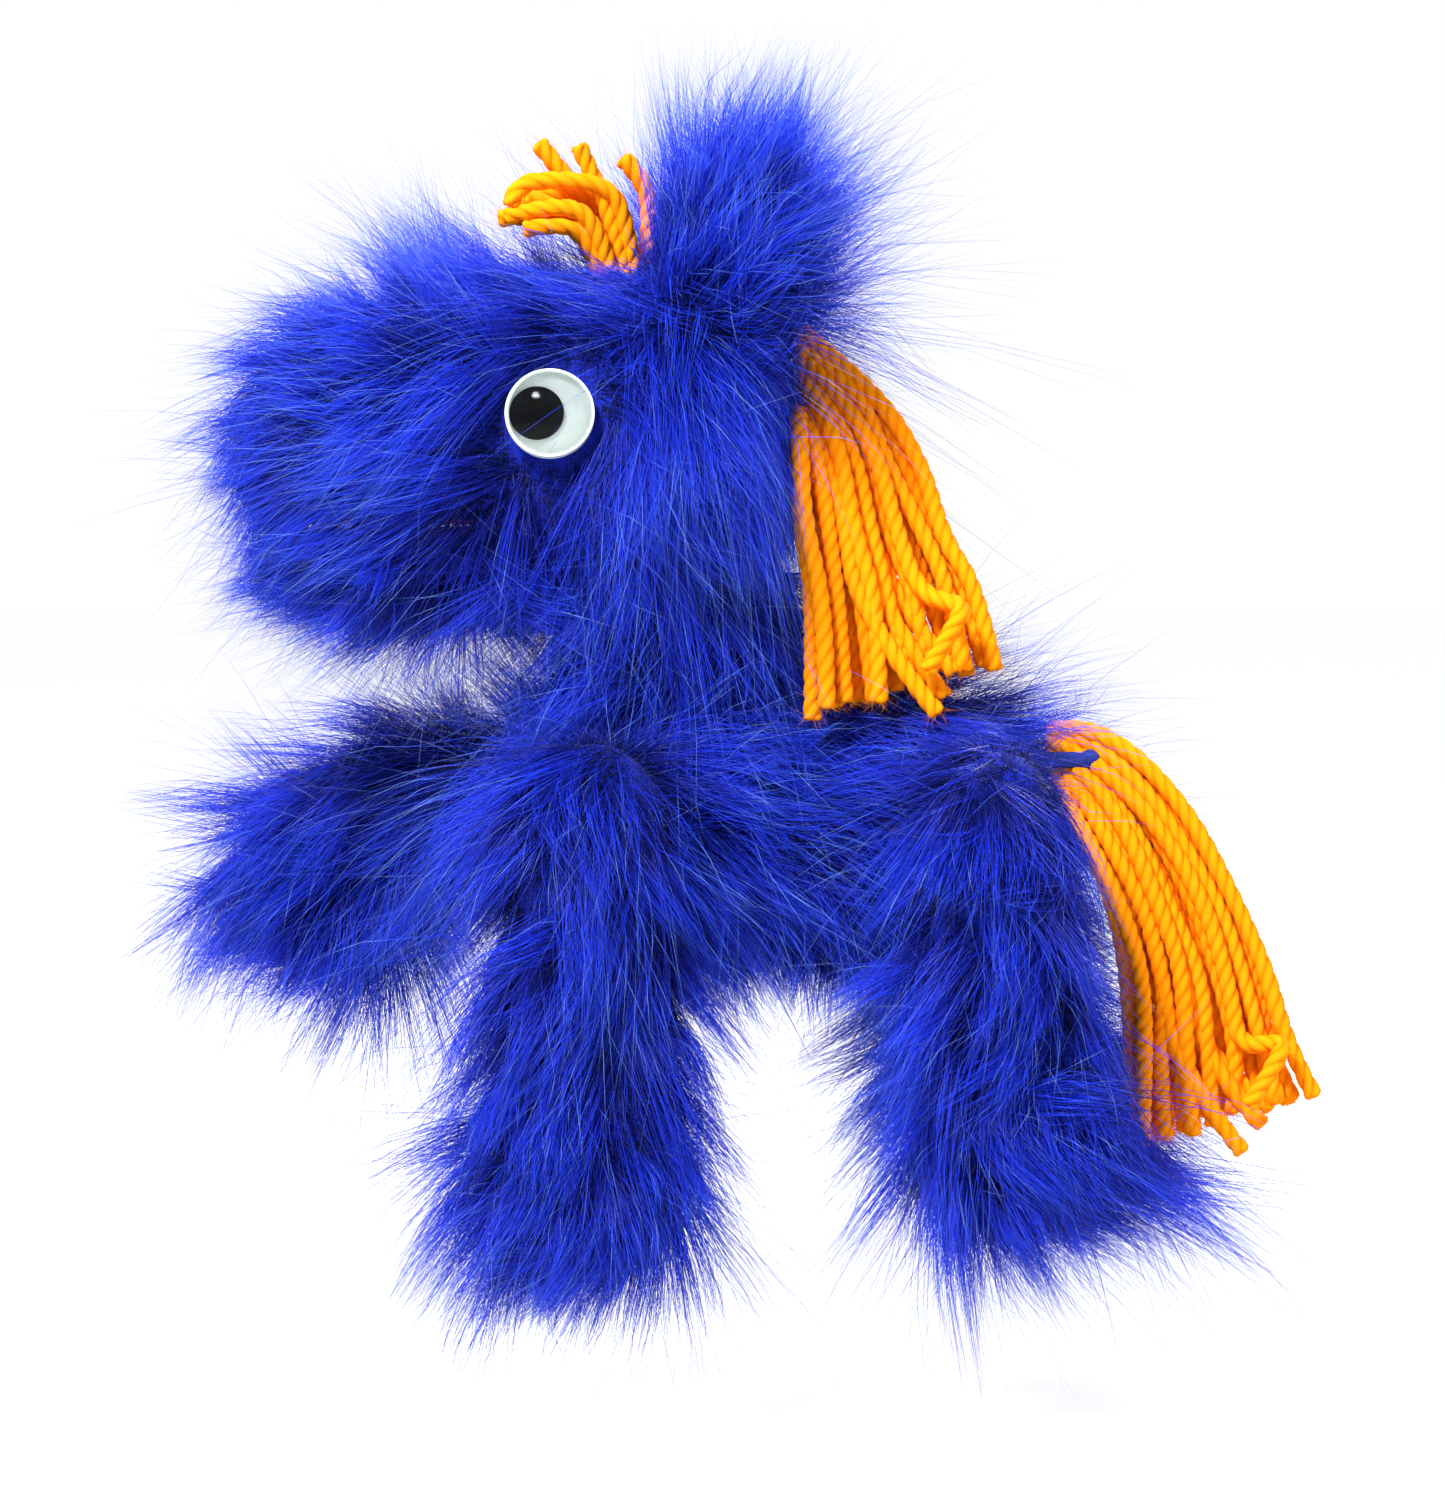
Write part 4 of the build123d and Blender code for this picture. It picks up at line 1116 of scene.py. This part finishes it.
# ---------------------------------------------------------------- legs
LEG_RADIUS = 20 * MM
FOOT_RADIUS = 28.5 * MM
HIP_SEAM_END = 20 * MM
FRONT_FOOT_END = 32 * MM      # from the knee to the middle of the foot's ball
REAR_FOOT_END = 22 * MM
REAR_HIP_RADIUS = 16 * MM
for leg in ("front_left", "front_right", "rear_left", "rear_right"):
    hip, knee = joint_at(leg + "_hip"), joint_at(leg + "_knee")
    down = unit(centre_of(leg + "_lower_leg_cover") - knee)
    foot_end = FRONT_FOOT_END if leg.startswith("front") else REAR_FOOT_END
    ankle = knee + down * foot_end
    shin_end = knee + down * foot_end * 0.55
    rear = leg.startswith("rear")
    haunch = hip - np.array([4 * MM if rear else 0, 0, 0])
    leg_rods = [(tuple(haunch), tuple(knee), REAR_HIP_RADIUS if rear else LEG_RADIUS, LEG_RADIUS),
                (tuple(knee), tuple(shin_end), LEG_RADIUS, 21.5 * MM),
                (tuple(shin_end), tuple(ankle), 21.5 * MM, 25 * MM)]
    leg_skin = skin(f"{leg}_leg_backing", leg_rods, BACKING)
    upper, lower = leg + "_upper_leg", leg + "_lower_leg"
    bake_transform(leg_skin)
    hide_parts(upper + "_cover", lower + "_cover")
    leg_filling = filling(f"{leg}_leg_filling", taken_in(leg_rods), [upper + "_stuffing", lower + "_stuffing"])
    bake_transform(leg_filling)
    into_body = np.array([hip[0], math.copysign(HIP_SEAM_END, hip[1]), hip[2]])
    towards = unit(into_body - hip)
    seam = skin(f"{leg}_hip_gather", [(tuple(into_body), tuple(hip + towards * 24 * MM), 10 * MM, 9 * MM)], BACKING)
    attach(seam, "torso")
    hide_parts(f"{leg}_hip_seam")
    out_side = -1 if leg.endswith("left") else 1
    forward = -1 if leg.startswith("front") else 1
    shin = unit(knee - hip)

    def leg_comb(p, n, knee=knee, down=down, shin=shin, forward=forward):
        below = fade((p - knee) @ down, -8 * MM, 16 * MM)[:, None]
        foot = fade((p - knee) @ down, 14 * MM, 40 * MM)[:, None]
        way = shin * (1 - below) + down * below
        spread = 0.5 if forward < 0 else 1.0
        return way + np.array([0.3 * forward, 0, 0]) * below + (n * 0.4 + np.array([spread * forward, 0, 0])) * foot

    def leg_lift(p, n, knee=knee, down=down, rear=rear):
        rise = 0.36 + 0.08 * fade((p - knee) @ down, 10 * MM, 45 * MM)
        return rise - rear * 0.2 * fade(n[:, 0], 0.3, 0.8) * fade(p[:, 2], -20 * MM, 5 * MM)

    def leg_length(p, n, knee=knee, down=down, forward=forward):
        at_foot = fade((p - knee) @ down, 5 * MM, 34 * MM)
        sole = fade(n @ down, 0.5, 0.9)
        heel = (forward > 0) * at_foot * fade(n[:, 0], 0.2, 0.8)
        return 35 * MM + 4 * MM * at_foot + 14 * MM * heel - 18 * MM * sole * at_foot

    def upper_part(p, n, knee=knee, down=down):
        return (p - knee) @ down < 4 * MM

    def lower_part(p, n, knee=knee, down=down):
        return (p - knee) @ down >= 4 * MM

    for part, keep in (("upper", upper_part), ("lower", lower_part)):
        hair = fur(f"{leg}_{part}_leg_fur", leg_skin, leg_length, leg_comb, leg_lift, keep, avoid=clear_of_yarn,
                   tuft_size=LOCK_SIZE)
        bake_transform(hair)

# ---------------------------------------------------------------- yarn
def smooth_line(controls):
    """Evenly spaced points along a smooth curve through the run of control points."""
    data = bpy.data.curves.new("route", "CURVE")
    data.dimensions = "3D"
    data.resolution_u = 24
    spline = data.splines.new("NURBS")
    spline.points.add(len(controls) - 1)
    for point, at in zip(spline.points, controls):
        point.co = (*at, 1)
    spline.order_u = 3
    spline.use_endpoint_u = True
    obj = bpy.data.objects.new("route", data)
    bpy.context.scene.collection.objects.link(obj)
    bpy.context.view_layer.update()
    graph = bpy.context.evaluated_depsgraph_get()
    mesh = bpy.data.meshes.new_from_object(obj.evaluated_get(graph))
    line = np.array([v.co for v in mesh.vertices], float)
    bpy.data.objects.remove(obj)
    bpy.data.curves.remove(data)
    bpy.data.meshes.remove(mesh)
    return line


def evenly(line, step):
    """(points, total length) of the line divided into equal steps."""
    runs = np.linalg.norm(np.diff(line, axis=0), axis=1)
    reach = np.concatenate([[0], np.cumsum(runs)])
    count = max(8, int(round(reach[-1] / step)) + 1)
    at = np.linspace(0, reach[-1], count)
    return np.stack([np.interp(at, reach, line[:, k]) for k in range(3)], 1), reach[-1]


def moving_frame(line):
    """Tangent, side and upright at each point, turning as little as possible."""
    tangent = unit(np.gradient(line, axis=0))
    side = unit(np.cross(tangent[0], (0.31, 0.9, 0.2)))
    sides = []
    for t in tangent:
        side = unit(side - t * (side @ t))
        sides.append(side)
    sides = np.array(sides)
    return tangent, sides, np.cross(tangent, sides)


def yarn_strand(name, controls, diameter=YARN_DIAMETER, root_hidden=True):
    """One cut length of three-ply yarn: its object, its centre line and its length."""
    line, long = evenly(smooth_line(controls), YARN_STEP)
    tangent, side, other = moving_frame(line)
    reach = np.linspace(0, long, len(line))
    scale = diameter / YARN_DIAMETER
    pitch = TWIST_PITCH * rng.uniform(0.9, 1.15)
    phase = rng.uniform(0, 2 * math.pi)
    to_end = np.minimum(long - reach, reach if not root_hidden else long)
    frayed = np.exp(-to_end / (3.0 * MM))
    thick = scale * (1 + 0.05 * np.sin(reach / (7 * MM) + phase)) * np.clip(0.55 + to_end / (1.2 * MM), 0, 1)
    ring = 2 * math.pi * np.arange(YARN_SIDES) / YARN_SIDES
    points, faces, uv = [], [], []
    base = 0
    for ply in range(PLIES):
        angle = phase + 2 * math.pi * (ply / PLIES + reach / pitch)
        outward = side * np.cos(angle)[:, None] + other * np.sin(angle)[:, None]
        orbit = PLY_ORBIT * scale * (1 + 0.45 * frayed)
        centre = line + outward * orbit[:, None]
        across = np.cross(tangent, outward)
        radial = (outward[:, None, :] * np.cos(ring)[None, :, None]
                  + across[:, None, :] * np.sin(ring)[None, :, None])
        radius = PLY_RADIUS * thick
        rows = centre[:, None, :] + radial * radius[:, None, None]
        points += [rows.reshape(-1, 3), centre[:1], centre[-1:]]
        # u runs from 0 on the side of the ply that faces the yarn's middle to 1 on its crown; the yarn material paints
        # shade at the low end.
        crown = np.broadcast_to(0.5 + 0.5 * np.cos(ring)[None, :], (len(line), YARN_SIDES))
        length_share = np.broadcast_to((reach / long)[:, None], crown.shape)
        uv += [np.stack([crown, length_share], 2).reshape(-1, 2), [[0.5, 0.0]], [[0.5, 1.0]]]
        k = np.arange(YARN_SIDES)
        following = (k + 1) % YARN_SIDES
        for row in range(len(line) - 1):
            a, b = base + row * YARN_SIDES + k, base + row * YARN_SIDES + following
            faces += [np.stack([a, b, b + YARN_SIDES], 1), np.stack([a, b + YARN_SIDES, a + YARN_SIDES], 1)]
        last = base + (len(line) - 1) * YARN_SIDES
        first_cap, last_cap = base + len(line) * YARN_SIDES, base + len(line) * YARN_SIDES + 1
        faces += [np.stack([np.full(YARN_SIDES, first_cap), base + following, base + k], 1),
                  np.stack([np.full(YARN_SIDES, last_cap), last + k, last + following], 1)]
        base = last_cap + 1
    obj = mesh_object(name, np.concatenate(points), np.concatenate(faces), YARN, np.concatenate(uv))
    return obj, line, long


def yarn_fuzz(name, lines, per_strand=FUZZ_PER_STRAND):
    """Loose fibres that stand out from lengths of yarn, and the brush of fibres at each cut end."""
    roots, out = [], []
    for line in lines:
        tangent, side, other = moving_frame(line)
        pick = rng.integers(0, len(line), per_strand)
        pick[: per_strand // 5] = len(line) - 1 - rng.integers(0, 3, per_strand // 5)
        angle = rng.uniform(0, 2 * math.pi, per_strand)
        away = side[pick] * np.cos(angle)[:, None] + other[pick] * np.sin(angle)[:, None]
        roots.append(line[pick] + away * YARN_DIAMETER * 0.36)
        out.append(unit(away + tangent[pick] * rng.normal(loc=0.8, scale=0.6, size=per_strand)[:, None]))
    roots, out = np.concatenate(roots), np.concatenate(out)
    count = len(roots)
    path = curve_paths(roots, out, rng.normal(scale=0.7, size=(count, 3)), rng.uniform(1.2, 4.2, count) * MM)
    radii = np.full((count, RINGS), 0.035 * MM) * np.array([1.0, 0.9, 0.7])[None]
    points, faces = strand_mesh(bounded(roots, path), radii)
    corners = RINGS * CORNERS + 1
    uv = np.stack([np.tile(np.linspace(0.7, 0.98, corners), count), np.repeat(rng.random(count), corners)], 1)
    obj = mesh_object(name, points, faces, YARN, uv)
    return obj


def hang(share, rows, depth, jitter=1.2):
    """Control points of one hanging strand. rows are (outer (x, z), inner (x, z)) from the root to the tip, and
    share is 0 for the outermost strand and 1 for the innermost."""
    controls = []
    for i, (outer, inner) in enumerate(rows):
        x = outer[0] + (inner[0] - outer[0]) * share + (rng.normal(scale=jitter) if i else 0)
        z = outer[1] + (inner[1] - outer[1]) * share + (rng.normal(scale=jitter) if i else 0)
        controls.append((x * MM, depth(i / (len(rows) - 1), share) * MM, z * MM))
    return controls


YARN_STRANDS = 17
STRAY_TAILS = (0.46, 0.58, 0.7)


def bundle(kind, rows, depth):
    """A hanging bunch of yarn: a fan of strands, one folded back on itself, and three that cross it."""
    strands = []
    for i in range(YARN_STRANDS):
        share = i / (YARN_STRANDS - 1)
        controls = hang(share, rows, lambda t, s, i=i: depth(t, s) + (2.6 * ((i * 2) % 5 - 2)) * min(1, 0.25 + 2.2 * t))
        if i == 5:
            x, y, z = controls[-1]
            controls[-1] = (x + 7 * MM, y - 5 * MM, z + 20 * MM)
            controls.append((x + 5 * MM, y - 7 * MM, z + 15 * MM))
            controls.append((x - 3 * MM, y - 7 * MM, z + 2 * MM))
        strands.append(controls)
    for k, share in enumerate(STRAY_TAILS):
        controls = hang(share, rows, lambda t, s, k=k: depth(t, s) + (1.5 - 3.4 * k) * t)
        x, y, z = controls[-1]
        controls[-1] = (x + (13 + 2 * k) * MM, y, z + (3 - 4 * k) * MM)
        strands.append(controls)
    made = [yarn_strand(f"{kind}_yarn_{i + 1:02d}", controls) for i, controls in enumerate(strands)]
    fuzz = yarn_fuzz(f"{kind}_yarn_fuzz", [line for _, line, _ in made])
    return made, fuzz


mane_strands, mane_fuzz = bundle("mane", MANE_ROWS, mane_depth)
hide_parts("mane_yarn")
for strand, line, long in mane_strands:
    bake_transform(strand)
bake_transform(mane_fuzz)

tape_low, tape_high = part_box("mane_tape")
tape = sewn_strip("mane_sewing_tape", [
    (CRANIUM[0] + 46.2 * MM * math.cos(a), 0, HEAD_Z + 46.2 * MM * math.sin(a)) for a in np.radians(range(-12, 41, 4))
], 12 * MM, 1.3 * MM)
for obj in tape:
    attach(obj, "head")
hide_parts("mane_tape")

loop = skin("tail_binding", [
    ((90 * MM, -9.3 * MM, 50 * MM), (90 * MM, 9.3 * MM, 50 * MM), 3 * MM, 3 * MM),
    ((74 * MM, -9.3 * MM, 50 * MM), (90 * MM, -9.3 * MM, 50 * MM), 2.2 * MM, 2.4 * MM),
    ((74 * MM, 9.3 * MM, 50 * MM), (90 * MM, 9.3 * MM, 50 * MM), 2.2 * MM, 2.4 * MM),
], TAPE, voxel=0.6 * MM, smooth=5)
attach(loop, "torso")
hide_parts("tail_loop")

tail_strands, tail_fuzz = bundle("tail", TAIL_ROWS, tail_depth)
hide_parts("tail_yarn")
for strand, line, long in tail_strands:
    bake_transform(strand)
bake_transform(tail_fuzz)

FORELOCK = (
    ((-37, 1, 184), (-42, 0, 200), (-53, -2, 208), (-62, -4, 220)),
    ((-38, -4, 184), (-42, -5, 199), (-46, -6, 209), (-51, -7, 219)),
    ((-33, 3, 186), (-31, 2, 200), (-33, 0, 210), (-39, -1, 216)),
    ((-36, -3, 184), (-38, -6, 201), (-44, -8, 208.5), (-58, -9, 209.5), (-68, -10, 208), (-69.5, -10, 202)),
    ((-39, 5, 184), (-42, 6, 202), (-54, 7, 207), (-66, 6, 206), (-70, 5, 199)),
    ((-42, -7, 184), (-46, -9, 199), (-57, -10, 203), (-71, -10, 199)),
    ((-42, 3, 184), (-47, 3, 198), (-58, 2, 203), (-66, 0, 205)),
    ((-45, -1, 184), (-50, -3, 197), (-62, -5, 200), (-73, -6, 199)),
    ((-40, 8, 184), (-43, 10, 200), (-50, 10, 207), (-57, 10, 213)),
    ((-44, -5, 184), (-49, -8, 196), (-58, -10, 197), (-66, -10, 196)),
)
forelock_lines = []
for i, controls in enumerate(FORELOCK):
    strand, line, long = yarn_strand(f"forelock_yarn_{i + 1:02d}", [tuple(c * MM for c in p) for p in controls])
    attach(strand, "head")
    forelock_lines.append(line)
    if i == 0:
        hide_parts("forelock_yarn")
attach(yarn_fuzz("forelock_yarn_fuzz", forelock_lines, 60), "head")

MATERIAL_OF = {
    "polyester_stuffing": STUFFING, "foam": FOAM, "lining_cloth": LINING, "hem_tape": TAPE, "fur_backing": BACKING,
    "mouth_felt": FELT, "mouth_board": BOARD, "orange_yarn": YARN, "eye_white": EYE_WHITE,
    "eye_clear": EYE_CLEAR, "eye_black": EYE_BLACK, "blue_fur": BACKING,
}
for sub in frame["record"]["subparts"]:
    node = frame["nodes"][sub["node"]]
    node.data.materials.clear()
    node.data.materials.append(MATERIAL_OF[sub["material_slot"]])
